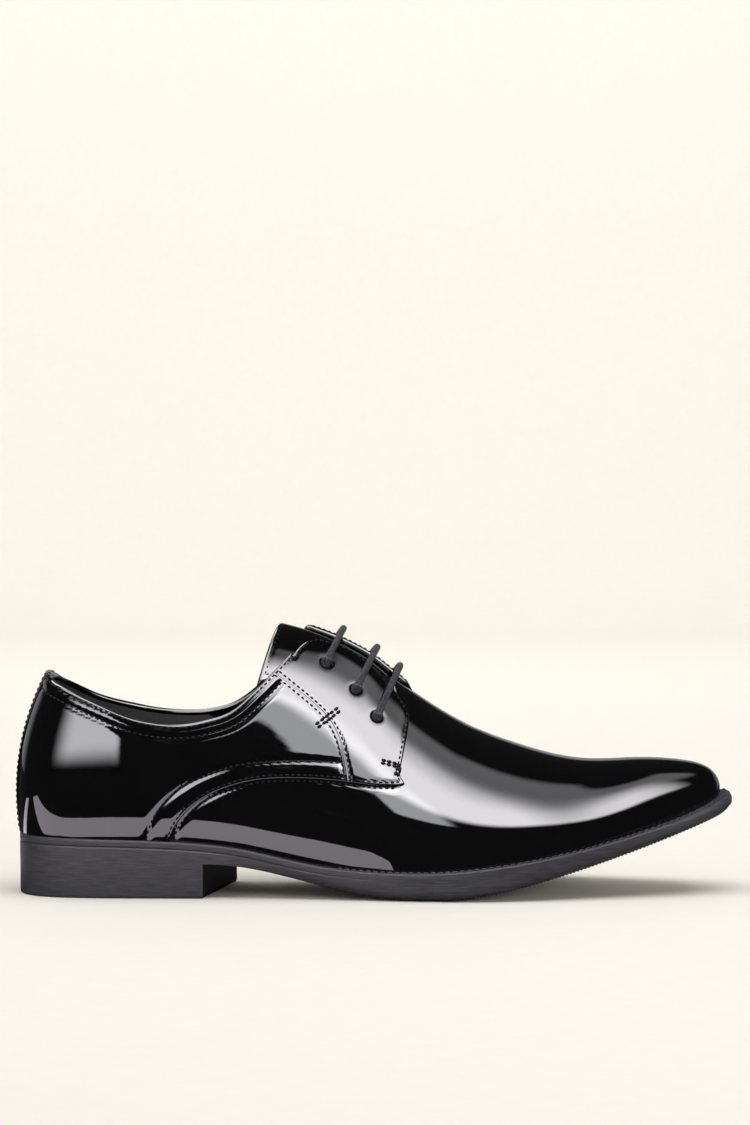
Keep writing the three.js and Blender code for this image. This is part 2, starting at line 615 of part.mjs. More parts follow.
// Lace bars over the facings, one for each pair of eyelets. A bar leaves its eyelet, lies on the
// facing and crosses the opening, square to the slope of the instep
function facingPoint(eyelet, share, lift) {
  const v = mix(eyelet.around, 1 - eyelet.around, share);
  let point = eyelet.outer.centre;
  for (let i = 0; i < 6; i += 1) {
    const x = eyelet.along + LACE_LEAN * (point.z - eyelet.outer.centre.z);
    const u = stationAt(x, v);
    point = onLast(u, v, quarterOuter(u, v) + lift);
  }
  return point;
}
function makeLaceBar(eyelet) {
  const radius = LACE_DIAMETER / 2;
  const over = radius + LACE_CLEARANCE;
  const end = (frame, next) => {
    const along = next.clone().sub(frame.centre).normalize();
    return [
      frame.centre.clone().addScaledVector(frame.normal, -LACE_IN_HOLE),
      frame.centre.clone().addScaledVector(frame.normal, over * 0.3),
      frame.centre.clone().addScaledVector(frame.normal, over).addScaledVector(along, radius * 0.5),
    ];
  };
  const shares = [0.16, 0.27, 0.38, 0.5, 0.62, 0.73, 0.84];
  const bar = shares.map((share) => (
    facingPoint(eyelet, share, over + LACE_ARCH * Math.sin(Math.PI * share) ** 2)));
  const points = [
    ...end(eyelet.outer, bar[0]),
    ...bar,
    ...end(eyelet.inner, bar.at(-1)).reverse(),
  ];
  const section = new THREE.Shape(Array.from({ length: LACE_SIDES }, (_, i) => new THREE.Vector2(
    radius * Math.cos(i * 2 * Math.PI / LACE_SIDES),
    radius * Math.sin(i * 2 * Math.PI / LACE_SIDES),
  )));
  const path = new THREE.CatmullRomCurve3(points);
  return new THREE.ExtrudeGeometry(section, { steps: 24, bevelEnabled: false, extrudePath: path });
}

const shoe = new THREE.Group();
shoe.add(meshOf('sole', geometryOf(makeSole()), RUBBER));
shoe.add(meshOf('upper', geometryOf(makeUpper()), LEATHER));
shoe.add(meshOf('tongue', geometryOf(makeTongue()), LEATHER));
shoe.add(meshOf('insole', geometryOf(makeInsole()), LINING));
shoe.add(meshOf('backstay', geometryOf(makeBackstay()), LEATHER));
eyelets.forEach((eyelet, i) => {
  shoe.add(meshOf(`lace_bar_${i + 1}`, makeLaceBar(eyelet), CORD));
});

// The frame's origin is under the middle of the shoe, on the floor
const middle = new THREE.Box3().setFromObject(shoe).getCenter(new THREE.Vector3());
shoe.position.set(-middle.x, -middle.y, 0);

export default shoe;
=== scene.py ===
"""A man's patent leather derby dress shoe: leather, stitching, lace, sole and a small studio."""
import functools
import math

import bpy
import numpy as np
from bpy.props import FloatProperty, FloatVectorProperty, PointerProperty
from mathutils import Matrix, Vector


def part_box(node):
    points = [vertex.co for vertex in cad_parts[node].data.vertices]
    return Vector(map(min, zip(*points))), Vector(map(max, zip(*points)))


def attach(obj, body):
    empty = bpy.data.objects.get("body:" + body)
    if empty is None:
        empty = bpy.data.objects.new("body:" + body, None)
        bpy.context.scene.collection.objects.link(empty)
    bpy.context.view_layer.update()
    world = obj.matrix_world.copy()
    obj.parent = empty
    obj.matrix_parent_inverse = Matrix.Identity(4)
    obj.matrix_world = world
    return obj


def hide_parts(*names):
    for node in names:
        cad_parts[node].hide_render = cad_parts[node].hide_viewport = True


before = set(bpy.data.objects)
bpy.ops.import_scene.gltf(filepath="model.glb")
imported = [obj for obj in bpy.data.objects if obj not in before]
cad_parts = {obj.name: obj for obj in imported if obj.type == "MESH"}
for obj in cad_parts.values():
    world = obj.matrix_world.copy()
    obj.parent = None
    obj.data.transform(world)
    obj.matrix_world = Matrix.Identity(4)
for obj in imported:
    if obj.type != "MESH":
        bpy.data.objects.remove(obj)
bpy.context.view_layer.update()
SOLE_LOW, SOLE_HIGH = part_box("sole")

bl_info = {
    "name": "Patent Derby Shoe",
    "version": (1, 0, 0),
    "blender": (4, 5, 0),
    "location": "3D View > Sidebar > Shoe",
    "description": "Builds the leather, stitching, lace and sole of a patent derby shoe",
    "category": "Add Mesh",
}

MM = 0.001

# Sizes of the shoe in millimetres, the same as in its solids
SHOE_LENGTH = 310.0
BALL_WIDTH = 97.0
HALF_BALL = BALL_WIDTH / 2
INSTEP_HEIGHT = 100.0
BACK_HEIGHT = 95.0
HEEL_RISE = 14.8
TOE_SPRING = 32.5
SEAT_HEIGHT = 11.5
WALL = 2.0
QUARTER_STEP = 1.1
FACING_LIFT = 1.4
TONGUE_RISE = 2.2
TUCK = 5.0
INNER_QUARTER_FORWARD = 4.0
EYELET_DIAMETER = 3.8
TONGUE_THICKNESS = 2.6
BACKSTAY_WIDTH = 16.0
BACKSTAY_THICKNESS = 0.8
BACKSTAY_FOLD = 11.0
LACE_ARCH = 1.4
LACE_LEAN = 0.36
LACE_IN_HOLE = 2.6
HEEL_LEDGE = 1.8
WAIST_LEDGE = 2.2
TOE_LEDGE = 5.2
INSOLE_THICKNESS = 3.2
HEEL_LENGTH = 83.0
BREAST_SLANT = 14.0
BREAST_HOLLOW = 3.5
BREAST_REACH = 12.0
HEEL_BLOCK_HEIGHT = 14.8
FLAT_START = 168.0
FLAT_END = 186.0
TIP_LIFT = 36.0
SIDE_LINE_DROP = 3.3
SIDE_LINE_DEPTH = 0.45
EDGE_ROUNDING = 4.2
EDGE_SLANT = 1.25
NOSE_ROUNDING = 2.8
TREAD_DEPTH = 0.5
TREAD_HEIGHT = 1.6
TREAD_START = 146.0
WELT_START = 138.0
WELT_STITCH = 3.1
CLEARANCE = 0.3
TONGUE_CLEARANCE = 0.6
TUCKED_IN = 0.25
BACKSTAY_GAP = CLEARANCE - 0.25
LAST_LENGTH = SHOE_LENGTH - HEEL_LEDGE - TOE_LEDGE

# Sections of the last from heel to toe: along, heel lift, toe lift, ridge, lean of the ridge,
# share of the back's setback, then half widths from the feather line up, outer and inner
LAST_ROWS = np.array([
    [0.000, 1.000, 0.000, 1.010, 0.000, 1.00,
     0.000, 0.000, 0.000, 0.000, 0.000, 0.000, 0.000, 0.000, 0.000, 0.000],
    [0.000, 1.000, 0.000, 1.010, 0.000, 1.00,
     0.268, 0.289, 0.289, 0.227, 0.082, 0.268, 0.289, 0.289, 0.227, 0.082],
    [0.020, 0.993, 0.000, 1.010, 0.000, 0.95,
     0.526, 0.577, 0.557, 0.433, 0.165, 0.526, 0.577, 0.557, 0.433, 0.165],
    [0.093, 0.966, 0.000, 1.010, 0.010, 0.62,
     0.649, 0.722, 0.701, 0.557, 0.227, 0.639, 0.711, 0.691, 0.557, 0.227],
    [0.199, 0.926, 0.000, 1.000, 0.021, 0.20,
     0.660, 0.732, 0.711, 0.567, 0.247, 0.608, 0.680, 0.680, 0.557, 0.247],
    [0.311, 0.777, 0.000, 0.950, 0.041, 0.00,
     0.670, 0.732, 0.701, 0.546, 0.206, 0.495, 0.577, 0.619, 0.515, 0.227],
    [0.413, 0.203, 0.000, 0.985, 0.072, 0.00,
     0.742, 0.804, 0.742, 0.495, 0.186, 0.485, 0.557, 0.619, 0.505, 0.227],
    [0.516, 0.034, 0.000, 0.840, 0.082, 0.00,
     0.856, 0.928, 0.856, 0.546, 0.186, 0.660, 0.753, 0.763, 0.567, 0.227],
    [0.615, 0.000, 0.031, 0.612, 0.082, 0.00,
     0.948, 1.010, 0.928, 0.588, 0.206, 0.907, 1.000, 0.948, 0.649, 0.247],
    [0.710, 0.000, 0.154, 0.465, 0.062, 0.00,
     0.907, 0.959, 0.876, 0.557, 0.227, 0.990, 1.041, 0.959, 0.619, 0.247],
    [0.799, 0.000, 0.308, 0.340, 0.041, 0.00,
     0.732, 0.773, 0.701, 0.474, 0.227, 0.845, 0.887, 0.804, 0.526, 0.247],
    [0.879, 0.000, 0.508, 0.300, 0.021, 0.00,
     0.567, 0.598, 0.557, 0.412, 0.206, 0.619, 0.649, 0.608, 0.433, 0.206],
    [0.945, 0.000, 0.708, 0.225, 0.010, 0.00,
     0.412, 0.443, 0.433, 0.330, 0.165, 0.433, 0.464, 0.443, 0.340, 0.165],
    [0.987, 0.000, 0.885, 0.142, 0.000, 0.00,
     0.289, 0.309, 0.299, 0.237, 0.124, 0.289, 0.309, 0.299, 0.237, 0.124],
    [1.000, 0.000, 0.970, 0.055, 0.000, 0.00,
     0.155, 0.165, 0.155, 0.124, 0.062, 0.155, 0.165, 0.155, 0.124, 0.062],
    [1.000, 0.000, 1.000, 0.000, 0.000, 0.00,
     0.000, 0.000, 0.000, 0.000, 0.000, 0.000, 0.000, 0.000, 0.000, 0.000],
])
LEVEL_HEIGHT = (0.0, 0.15, 0.42, 0.8, 1.0)
BACK_SETBACK = (0.0, -0.021, -0.008, 0.179, 0.358)

# Lines on the leather seen from the side: shares of the shoe's length and of the back's height
QUARTER_EDGE = [
    (0.214, 0.150), (0.219, 0.284), (0.236, 0.379), (0.261, 0.450), (0.296, 0.505),
    (0.343, 0.541), (0.404, 0.547), (0.457, 0.535), (0.501, 0.519), (0.538, 0.522),
    (0.533, 0.567), (0.538, 0.656), (0.543, 0.732), (0.547, 0.806), (0.544, 0.870),
    (0.537, 0.930), (0.515, 1.060), (0.470, 1.500),
]
TOPLINE = [
    (-0.040, 1.000, 1.000), (0.034, 0.998, 0.998), (0.058, 0.964, 0.958), (0.106, 0.894, 0.880),
    (0.159, 0.822, 0.835), (0.194, 0.795, 0.815), (0.230, 0.786, 0.808), (0.264, 0.803, 0.815),
    (0.300, 0.843, 0.850), (0.334, 0.939, 0.935), (0.358, 1.018, 1.040), (0.385, 1.107, 1.140),
    (0.402, 1.160, 1.215), (0.425, 1.245, 1.310), (0.450, 1.400, 1.450),
]
# Opening between the facings seen from above: along, then its outer and inner edge as shares
# of BALL_WIDTH
THROAT = [
    (0.385, 0.210, 0.130), (0.400, 0.155, 0.118), (0.417, 0.112, 0.110), (0.441, 0.096, 0.104),
    (0.471, 0.088, 0.099), (0.492, 0.108, 0.094), (0.508, 0.125, 0.088), (0.528, 0.150, 0.080),
    (0.545, 0.200, 0.074), (0.560, 0.260, 0.070),
]
EYELETS = [(0.428, 1.028), (0.470, 0.915), (0.500, 0.803)]
TONGUE = {"top": 0.365, "top_side": 0.337, "front": 0.520, "front_side": 0.526,
          "top_edge": 0.235, "front_edge": 0.37}
# Seam behind the facing, and the single row over the quarter's arc, in millimetres
EYESTAY = [(100.0, 106.0), (107.0, 100.4), (112.0, 96.6), (119.6, 90.5), (128.6, 83.2),
           (135.0, 76.7), (139.3, 68.6), (141.4, 60.3), (142.7, 52.9), (143.6, 40.0)]
UPPER_ARC = [(55.5, 18.0), (57.8, 28.1), (61.2, 36.4), (67.9, 44.1), (76.4, 50.1),
             (87.5, 54.8), (98.1, 57.6), (114.7, 59.1), (130.8, 59.1), (146.0, 57.8)]
CROSS_BAR = [(129.5, 73.0), (139.2, 79.8)]
CORNER_BAR = [(157.0, 58.7), (165.0, 56.6), (163.5, 52.4)]
# Where the facings lie: around the last on each side of the ridge, and along the shoe
FACING = {"reach": 0.12, "fade": 0.26, "start": 0.20, "start_fade": 0.16}
FAR = 400.0


# The last
def mix(a, b, t):
    return a + (b - a) * t


def smooth(t):
    t = np.clip(t, 0.0, 1.0)
    return t * t * (3 - 2 * t)


def unit(vectors):
    length = np.linalg.norm(vectors, axis=-1, keepdims=True)
    return vectors / np.maximum(length, 1e-12)


def last_net():
    """Control points of the last, heel to toe and around from the outer feather line."""
    net = []
    for row in LAST_ROWS:
        along, heel_lift, toe_lift, ridge, lean, back = row[:6]
        feather = SEAT_HEIGHT + heel_lift * HEEL_RISE + toe_lift * TOE_SPRING

        def point(level, turn, width):
            setback = back * BACK_SETBACK[level] * BACK_HEIGHT
            shift = lean if level == 4 else 0.0
            return (HEEL_LEDGE + along * LAST_LENGTH + setback,
                    (turn * width + shift) * HALF_BALL,
                    feather + ridge * INSTEP_HEIGHT * LEVEL_HEIGHT[level])
        outer = [point(level, -1, row[6 + level]) for level in range(5)]
        inner = [point(level, 1, row[11 + level]) for level in range(5)]
        net.append(outer + [point(4, 0, 0.0)] + inner[::-1])
    return np.array(net)


NET = last_net()


def weights(count, share):
    """Pull of each control point at the given shares, and how fast it changes."""
    knots = np.concatenate([[0.0] * 3, np.linspace(0.0, 1.0, count - 2), [1.0] * 3])
    t = np.clip(share, 0.0, 1.0 - 1e-9)
    pull = [((t >= knots[i]) & (t < knots[i + 1])).astype(float) for i in range(count + 3)]
    for degree in (1, 2, 3):
        lower = pull
        pull = []
        for i in range(count + 3 - degree):
            left = knots[i + degree] - knots[i]
            right = knots[i + degree + 1] - knots[i + 1]
            value = np.zeros_like(t)
            if left > 0:
                value = value + (t - knots[i]) / left * lower[i]
            if right > 0:
                value = value + (knots[i + degree + 1] - t) / right * lower[i + 1]
            pull.append(value)
    slope = []
    for i in range(count):
        left = knots[i + 3] - knots[i]
        right = knots[i + 4] - knots[i + 1]
        value = np.zeros_like(t)
        if left > 0:
            value = value + 3 / left * lower[i]
        if right > 0:
            value = value - 3 / right * lower[i + 1]
        slope.append(value)
    return np.stack(pull, 1), np.stack(slope, 1)


def last(u, v):
    """Points and outward normals of the last."""
    u = np.atleast_1d(np.asarray(u, float))
    v = np.atleast_1d(np.asarray(v, float))
    u, v = np.broadcast_arrays(u, v)
    pull_u, slope_u = weights(NET.shape[0], u)
    pull_v, slope_v = weights(NET.shape[1], v)
    flat = NET.reshape(NET.shape[0], -1)
    rows = (pull_u @ flat).reshape(-1, NET.shape[1], 3)
    moved = (slope_u @ flat).reshape(-1, NET.shape[1], 3)
    point = np.einsum("pj,pjk->pk", pull_v, rows)
    across = np.einsum("pj,pjk->pk", slope_v, rows)
    forward = np.einsum("pj,pjk->pk", pull_v, moved)
    normal = unit(np.cross(forward, across))
    normal[u > 0.999] = (1.0, 0.0, 0.0)
    return point, normal


def facing_share(v, x):
    beside = 1 - smooth((np.abs(v - 0.5) - FACING["reach"]) / FACING["fade"])
    return beside * smooth((x / SHOE_LENGTH - FACING["start"]) / FACING["start_fade"])


def tongue_rise(v, x):
    return TONGUE_RISE * facing_share(v, x) * (1 - smooth((x / SHOE_LENGTH - 0.475) / 0.07))


def quarter_outer(v, x):
    return QUARTER_STEP + FACING_LIFT * facing_share(v, x) + tongue_rise(v, x)


def quarter_inner(v, x):
    return -WALL + (WALL - TUCKED_IN) * facing_share(v, x) + tongue_rise(v, x)


def lifted(u, v, lift):
    """Points of the last lifted along its normals."""
    point, normal = last(u, v)
    return point + normal * np.reshape(lift(v, point[:, 0]), (-1, 1))


def skin(u, v, lift):
    """Points and normals of a smooth layer that stands off the last."""
    step = 1e-3
    point = lifted(u, v, lift)
    along = lifted(np.minimum(u + step, 1), v, lift) - lifted(np.maximum(u - step, 0), v, lift)
    across = lifted(u, np.minimum(v + step, 1), lift) - lifted(u, np.maximum(v - step, 0), lift)
    normal = unit(np.cross(along, across))
    normal[u > 0.999] = (1.0, 0.0, 0.0)
    return point, normal


def bisect(low, high, below):
    """Where a rising test turns, for whole arrays."""
    low = np.array(low, float)
    high = np.array(high, float)
    for _ in range(30):
        middle = (low + high) / 2
        under = below(middle)
        low = np.where(under, middle, low)
        high = np.where(under, high, middle)
    return (low + high) / 2


def station_at(x, v):
    x, v = np.broadcast_arrays(np.asarray(x, float), np.asarray(v, float))
    zeros = np.zeros(x.size)
    found = bisect(zeros, zeros + 1, lambda u: last(u, v.ravel())[0][:, 0] < x.ravel())
    return found.reshape(x.shape)


def spots(x, z, outer=True):
    """Shares along and around the last of places seen from the side."""
    x, z = np.atleast_1d(x).astype(float), np.atleast_1d(z).astype(float)

    def place(w):
        return w if outer else 1 - w
    w = bisect(np.zeros(len(x)), np.full(len(x), 0.5),
               lambda w: last(station_at(x, place(w)), place(w))[0][:, 2] < z)
    return station_at(x, place(w)), place(w)


# Outlines
def curve_through(points, count):
    """A smooth line through points, evenly sampled between them."""
    points = np.asarray(points, float)
    last_index = len(points) - 1
    line = []
    for t in np.linspace(0, last_index, count + 1):
        i = min(int(t), last_index - 1)
        w = t - i
        p0, p1 = points[max(i - 1, 0)], points[i]
        p2, p3 = points[i + 1], points[min(i + 2, last_index)]
        v0, v1 = (p2 - p0) / 2, (p3 - p1) / 2
        line.append((2 * p1 - 2 * p2 + v0 + v1) * w ** 3
                    + (-3 * p1 + 3 * p2 - 2 * v0 - v1) * w ** 2 + v0 * w + p1)
    return np.array(line)


def signed_distance(outline, points):
    """Distance into a closed outline, negative outside, and the direction in which it grows."""
    start = outline
    span = np.roll(outline, -1, axis=0) - start
    length = np.maximum((span ** 2).sum(1), 1e-12)
    distance = np.empty(len(points))
    toward = np.empty((len(points), 2))
    for first in range(0, len(points), 4000):
        part = points[first:first + 4000]
        gap = part[:, None] - start[None]
        share = np.clip((gap * span).sum(2) / length, 0, 1)
        away = gap - share[..., None] * span
        far = (away ** 2).sum(2)
        nearest = far.argmin(1)
        pick = np.arange(len(part))
        shortest = np.sqrt(far[pick, nearest])
        y, end = part[:, None, 1], start + span
        crosses = (start[None, :, 1] > y) != (end[None, :, 1] > y)
        rise = np.where(span[:, 1] == 0, 1e-12, span[:, 1])
        x = start[:, 0] + (y - start[:, 1]) / rise * span[:, 0]
        inside = (crosses & (part[:, None, 0] < x)).sum(1) % 2 == 1
        sign = np.where(inside, 1.0, -1.0)
        side = np.stack([-span[nearest, 1], span[nearest, 0]], 1)
        vector = np.where(shortest[:, None] > 1e-4, away[pick, nearest] * sign[:, None], side)
        distance[first:first + 4000] = shortest * sign
        toward[first:first + 4000] = unit(vector)
    return distance, toward


class Field:
    """Distance over the leather to a line that is drawn from the side or from above."""

    def __init__(self, outer, inner, axes=(0, 2)):
        self.outlines = (np.asarray(outer, float), np.asarray(inner, float))
        self.axes = axes

    def at(self, v, point, normal):
        distance = np.empty(len(v))
        toward = np.zeros((len(v), 3))
        for outline, half in zip(self.outlines, (v <= 0.5, v > 0.5)):
            if not half.any():
                continue
            flat = point[half][:, self.axes]
            near, grows = signed_distance(outline, flat)
            direction = np.zeros((half.sum(), 3))
            direction[:, self.axes[0]] = grows[:, 0]
            direction[:, self.axes[1]] = grows[:, 1]
            n = normal[half]
            tangent = direction - n * (direction * n).sum(1, keepdims=True)
            lean = np.maximum(np.linalg.norm(tangent, axis=1), 0.3)
            distance[half] = near / lean
            toward[half] = tangent / lean[:, None]
        return distance, toward


def side_points(rows):
    return np.array(rows) * (SHOE_LENGTH, BACK_HEIGHT)


def quarter_outline(shift):
    edge = curve_through(side_points(QUARTER_EDGE), 120)
    edge = edge + (-shift, max(shift, 0.0) * 0.8)
    start, end = edge[0], edge[-1]
    return np.vstack([[(-FAR, start[1] - FAR), (start[0], start[1] - FAR)], edge,
                      [(end[0], FAR), (-FAR, FAR)]])


def under_topline(column):
    line = curve_through(side_points([(row[0], row[column]) for row in TOPLINE]), 120)
    start, end = line[0], line[-1]
    return np.vstack([line, [(end[0], FAR), (FAR * 2, FAR), (FAR * 2, -FAR), (-FAR, -FAR),
                             (-FAR, start[1])]])


def throat_outline():
    def edge(column, turn):
        rows = [(row[0] * SHOE_LENGTH, turn * row[column] * BALL_WIDTH) for row in THROAT]
        return curve_through(rows, 60)
    return np.vstack([edge(1, -1), edge(2, 1)[::-1]])


def behind(line, shift=0.0):
    """Closed outline of all that lies behind and over a line drawn from the top down."""
    drawn = curve_through(line, 100) + (shift, 0.0)
    start, end = drawn[0], drawn[-1]
    return np.vstack([[(-FAR, start[1] + FAR), (start[0], start[1] + FAR)], drawn,
                      [(end[0], -FAR), (-FAR, -FAR)]])


def over_arc(shift=0.0):
    drawn = curve_through(UPPER_ARC, 100) + (shift, 0.0)
    start, end = drawn[0], drawn[-1]
    return np.vstack([[(-FAR, FAR), (-FAR, -FAR), (start[0], -FAR)], drawn,
                      [(FAR * 2, end[1]), (FAR * 2, FAR)]])


EDGE = Field(quarter_outline(0.0), quarter_outline(-INNER_QUARTER_FORWARD))
TUCKED = Field(quarter_outline(TUCK), quarter_outline(TUCK))
TOP = Field(under_topline(1), under_topline(2))
THROAT_FIELD = Field(throat_outline(), throat_outline(), axes=(0, 1))
EYESTAY_FIELD = Field(behind(EYESTAY), behind(EYESTAY, INNER_QUARTER_FORWARD))
ARC_FIELD = Field(over_arc(), over_arc(INNER_QUARTER_FORWARD))


# Meshes
def to_scene(points):
    """Millimetres of the shoe to the frame's metres."""
    points = np.asarray(points, float) * MM
    return points + np.array([SOLE_LOW[0], MIDDLE, 0.0])


def weld(points, faces, normals):
    """Join vertices at one place and drop the faces that vanish."""
    keys = {}
    index = []
    kept = []
    for i, key in enumerate(map(tuple, np.round(points, 3).tolist())):
        if key not in keys:
            keys[key] = len(kept)
            kept.append(i)
        index.append(keys[key])
    fresh = []
    seen = set()
    for face in faces:
        ring = []
        for i in face:
            j = index[i]
            if not ring or ring[-1] != j:
                ring.append(j)
        if len(ring) > 1 and ring[0] == ring[-1]:
            ring.pop()
        key = frozenset(ring)
        if len(key) < 3 or len(key) != len(ring) or key in seen:
            continue
        seen.add(key)
        fresh.append(ring)
    return points[kept], fresh, (normals[kept] if normals is not None else None)


def make_piece(name, points, faces, normals=None, material=None, sharp=None):
    """A smooth mesh piece in the frame's metres that rides on the shoe."""
    points, faces, normals = weld(np.asarray(points, float), faces, normals)
    mesh = bpy.data.meshes.new(name)
    mesh.from_pydata(to_scene(points).tolist(), [], faces)
    mesh.validate()
    mesh.shade_smooth()
    if sharp is not None:
        mesh.set_sharp_from_angle(angle=math.radians(sharp))
    elif normals is not None and len(mesh.vertices) == len(normals):
        mesh.normals_split_custom_set_from_vertices(unit(normals).tolist())
    piece = bpy.data.objects.new(name, mesh)
    bpy.context.scene.collection.objects.link(piece)
    if material:
        mesh.materials.append(material)
    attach(piece, "root")
    return piece


def run_along(line):
    """How far each point lies along its line."""
    return np.concatenate([[0], np.cumsum(np.linalg.norm(np.diff(line, axis=0), axis=1))])


def even_shares(length_of, count):
    """Shares that lie evenly along a sampled line."""
    fine = np.linspace(0, 1, 2001)
    run = run_along(length_of(fine))
    return np.interp(np.linspace(0, run[-1], count + 1), run, fine)


def flat_net(rows, columns):
    """A net of shares over the last with nearly square cells."""
    along = even_shares(lambda u: last(u, 0.3)[0], rows)
    around = even_shares(lambda v: last(0.42, v)[0], columns // 2 * 2)
    around = (around + (1 - around[::-1])) / 2
    u, v = np.meshgrid(along, around, indexing="ij")
    wide = len(around)
    first = (np.arange(len(along) - 1)[:, None] * wide + np.arange(wide - 1)).ravel()
    faces = np.stack([first, first + wide, first + wide + 1, first + 1], 1).tolist()
    return np.stack([u.ravel(), v.ravel()], 1), faces


def cut_along(values, faces, column, level):
    """Split the faces of a flat net along one level of one of its columns."""
    side = (values[:, column] > level).tolist()
    height = values[:, column]
    fresh = []
    edges = {}
    kept = []

    def crossing(a, b):
        key = (a, b) if a < b else (b, a)
        if key not in edges:
            low, high = height[key[0]], height[key[1]]
            share = (level - low) / (high - low)
            fresh.append(values[key[0]] + share * (values[key[1]] - values[key[0]]))
            edges[key] = len(values) + len(fresh) - 1
        return edges[key]
    for face in faces:
        count = sum(side[i] for i in face)
        if count == 0 or count == len(face):
            kept.append(face)
            continue
        high, low = [], []
        for i, a in enumerate(face):
            b = face[(i + 1) % len(face)]
            (high if side[a] else low).append(a)
            if side[a] != side[b]:
                middle = crossing(a, b)
                high.append(middle)
                low.append(middle)
        kept += [part for part in (high, low) if len(part) > 2]
    return (np.vstack([values, fresh]) if fresh else values), kept


def compact(faces, *layers):
    """The points of each layer that the faces use, and the faces numbered anew over them."""
    used = sorted({i for face in faces for i in face})
    place = dict(zip(used, range(len(used))))
    return [layer[used] for layer in layers] + [[[place[i] for i in face] for face in faces]]


def keep_over(values, faces, column, level=0.0):
    """Keep the faces on the high side of a level that the net has been cut along."""
    values, faces = cut_along(values, faces, column, level)
    height = values[:, column]
    faces = [face for face in faces if max(height[i] for i in face) > level + 1e-9
             and sum(height[i] for i in face) / len(face) > level]
    return compact(faces, values)


def trace(values, faces, column, level, keep):
    """Lines of shares along one level of a column, where keep holds."""
    height = values[:, column]
    links = {}
    place = {}
    for face in faces:
        found = []
        for i, a in enumerate(face):
            b = face[(i + 1) % len(face)]
            if (height[a] > level) != (height[b] > level):
                key = (min(a, b), max(a, b))
                if key not in place:
                    share = (level - height[key[0]]) / (height[key[1]] - height[key[0]])
                    place[key] = mix(values[key[0]], values[key[1]], share)
                found.append(key)
        if len(found) == 2:
            links.setdefault(found[0], []).append(found[1])
            links.setdefault(found[1], []).append(found[0])
    links = {key: [other for other in others if keep(place[other])]
             for key, others in links.items() if keep(place[key])}
    lines = []
    while links:
        ends = [key for key, others in links.items() if len(others) < 2]
        key = ends[0] if ends else next(iter(links))
        line = []
        while key in links:
            line.append(place[key])
            others = links.pop(key)
            key = next((other for other in others if other in links), None)
        if len(line) > 3:
            lines.append(np.array(line)[:, :2])
    return lines


def thicken(outer, inner, faces, outer_normals, inner_normals):
    """Close two layers over one net into a solid, joined where they meet."""
    count = len(outer)
    meets = np.linalg.norm(outer - inner, axis=1) < 0.01
    under = np.where(meets, np.arange(count), np.arange(count) + count)
    edges = {}
    for face in faces:
        for i, a in enumerate(face):
            b = face[(i + 1) % len(face)]
            edges[(a, b)] = edges.get((a, b), 0) + 1
    solid = [list(face) for face in faces]
    solid += [[int(under[i]) for i in reversed(face)] for face in faces]
    for a, b in edges:
        if (b, a) not in edges and not (meets[a] and meets[b]):
            solid.append([b, a, int(under[a]), int(under[b])])
    return (np.vstack([outer, inner]), solid, np.vstack([outer_normals, inner_normals]))


def drop_unused(points, faces, normals):
    points, normals, faces = compact(faces, points, normals)
    return points, faces, normals


def rim(distance, radius):
    """Rounding of an edge: its share of full thickness, and the slope of that share."""
    t = np.clip(1 - np.maximum(distance, 0) / radius, 0, 1)
    q = np.sqrt(np.maximum(1 - t * t, 0))
    return q, t / (radius * np.maximum(q, 0.1))


def valley(distance, at, depth, width):
    """A soft trough along a stitch row, and its slope."""
    t = (distance - at) / width
    low = -depth * np.exp(-t * t)
    return low, low * -2 * t / width


def feet(u, v):
    """Height of the feather line under each place."""
    return last(u, np.where(v < 0.5, 0.0, 1.0))[0][:, 2]


def on_feather(points, u, v):
    points = points.copy()
    points[:, 2] = np.maximum(points[:, 2], feet(u, v))
    return points


# Quarters and vamp
EDGE_RADIUS = 1.3
EDGE_LEVELS = (0.1, 0.3, 0.62, 1.0, 1.5)
LINE_LEVELS = (-1.0, -0.55, -0.25, 0.0, 0.25, 0.55, 1.0)
ROW_INSET = 1.5
SEAM_ROW = 1.3
COLLAR_ROW = 6.0
COLLAR_SWELL = 3.7
DASH = 0.66
SUNK = 0.24
BAR_THREAD = 1.7
HOLE_REACH = 12.0
POCKET = {}


@functools.lru_cache(maxsize=None)
def find_eyelets():
    """Shares, middle and direction of every eyelet, outer and inner by turns."""
    found = []
    places = side_points(EYELETS)
    for u, v in zip(*spots(places[:, 0], places[:, 1])):
        for around in (v, 1 - v):
            centre, _ = skin(np.array([u]), np.array([around]), quarter_outer)
            _, normal = last(u, around)
            found.append((u, around, centre[0], normal[0]))
    return found


def hole_distance(point, eyelets):
    """Distance from the nearest punched hole's edge, and the direction in which it grows."""
    distance = np.full(len(point), 1e3)
    toward = np.zeros((len(point), 3))
    for _, _, centre, normal in eyelets:
        gap = point - centre
        deep = gap @ normal
        flat = gap - deep[:, None] * normal
        reach = np.linalg.norm(flat, axis=1) - EYELET_DIAMETER / 2
        reach = np.where(np.abs(deep) < HOLE_REACH, reach, 1e3)
        nearer = reach < distance
        distance[nearer] = reach[nearer]
        toward[nearer] = unit(flat[nearer])
    return distance, toward


QUARTER_COLUMNS = ("edge", "top", "throat", "hole", "eyestay", "arc")


def quarter_fields(u, v, eyelets):
    point, normal = skin(u, v, quarter_outer)
    throat, away = THROAT_FIELD.at(v, point, normal)
    fields = {
        "edge": EDGE.at(v, point, normal),
        "top": TOP.at(v, point, normal),
        "throat": (-throat, -away),
        "hole": hole_distance(point, eyelets),
        "eyestay": EYESTAY_FIELD.at(v, point, normal),
        "arc": ARC_FIELD.at(v, point, normal),
    }
    return point, normal, fields


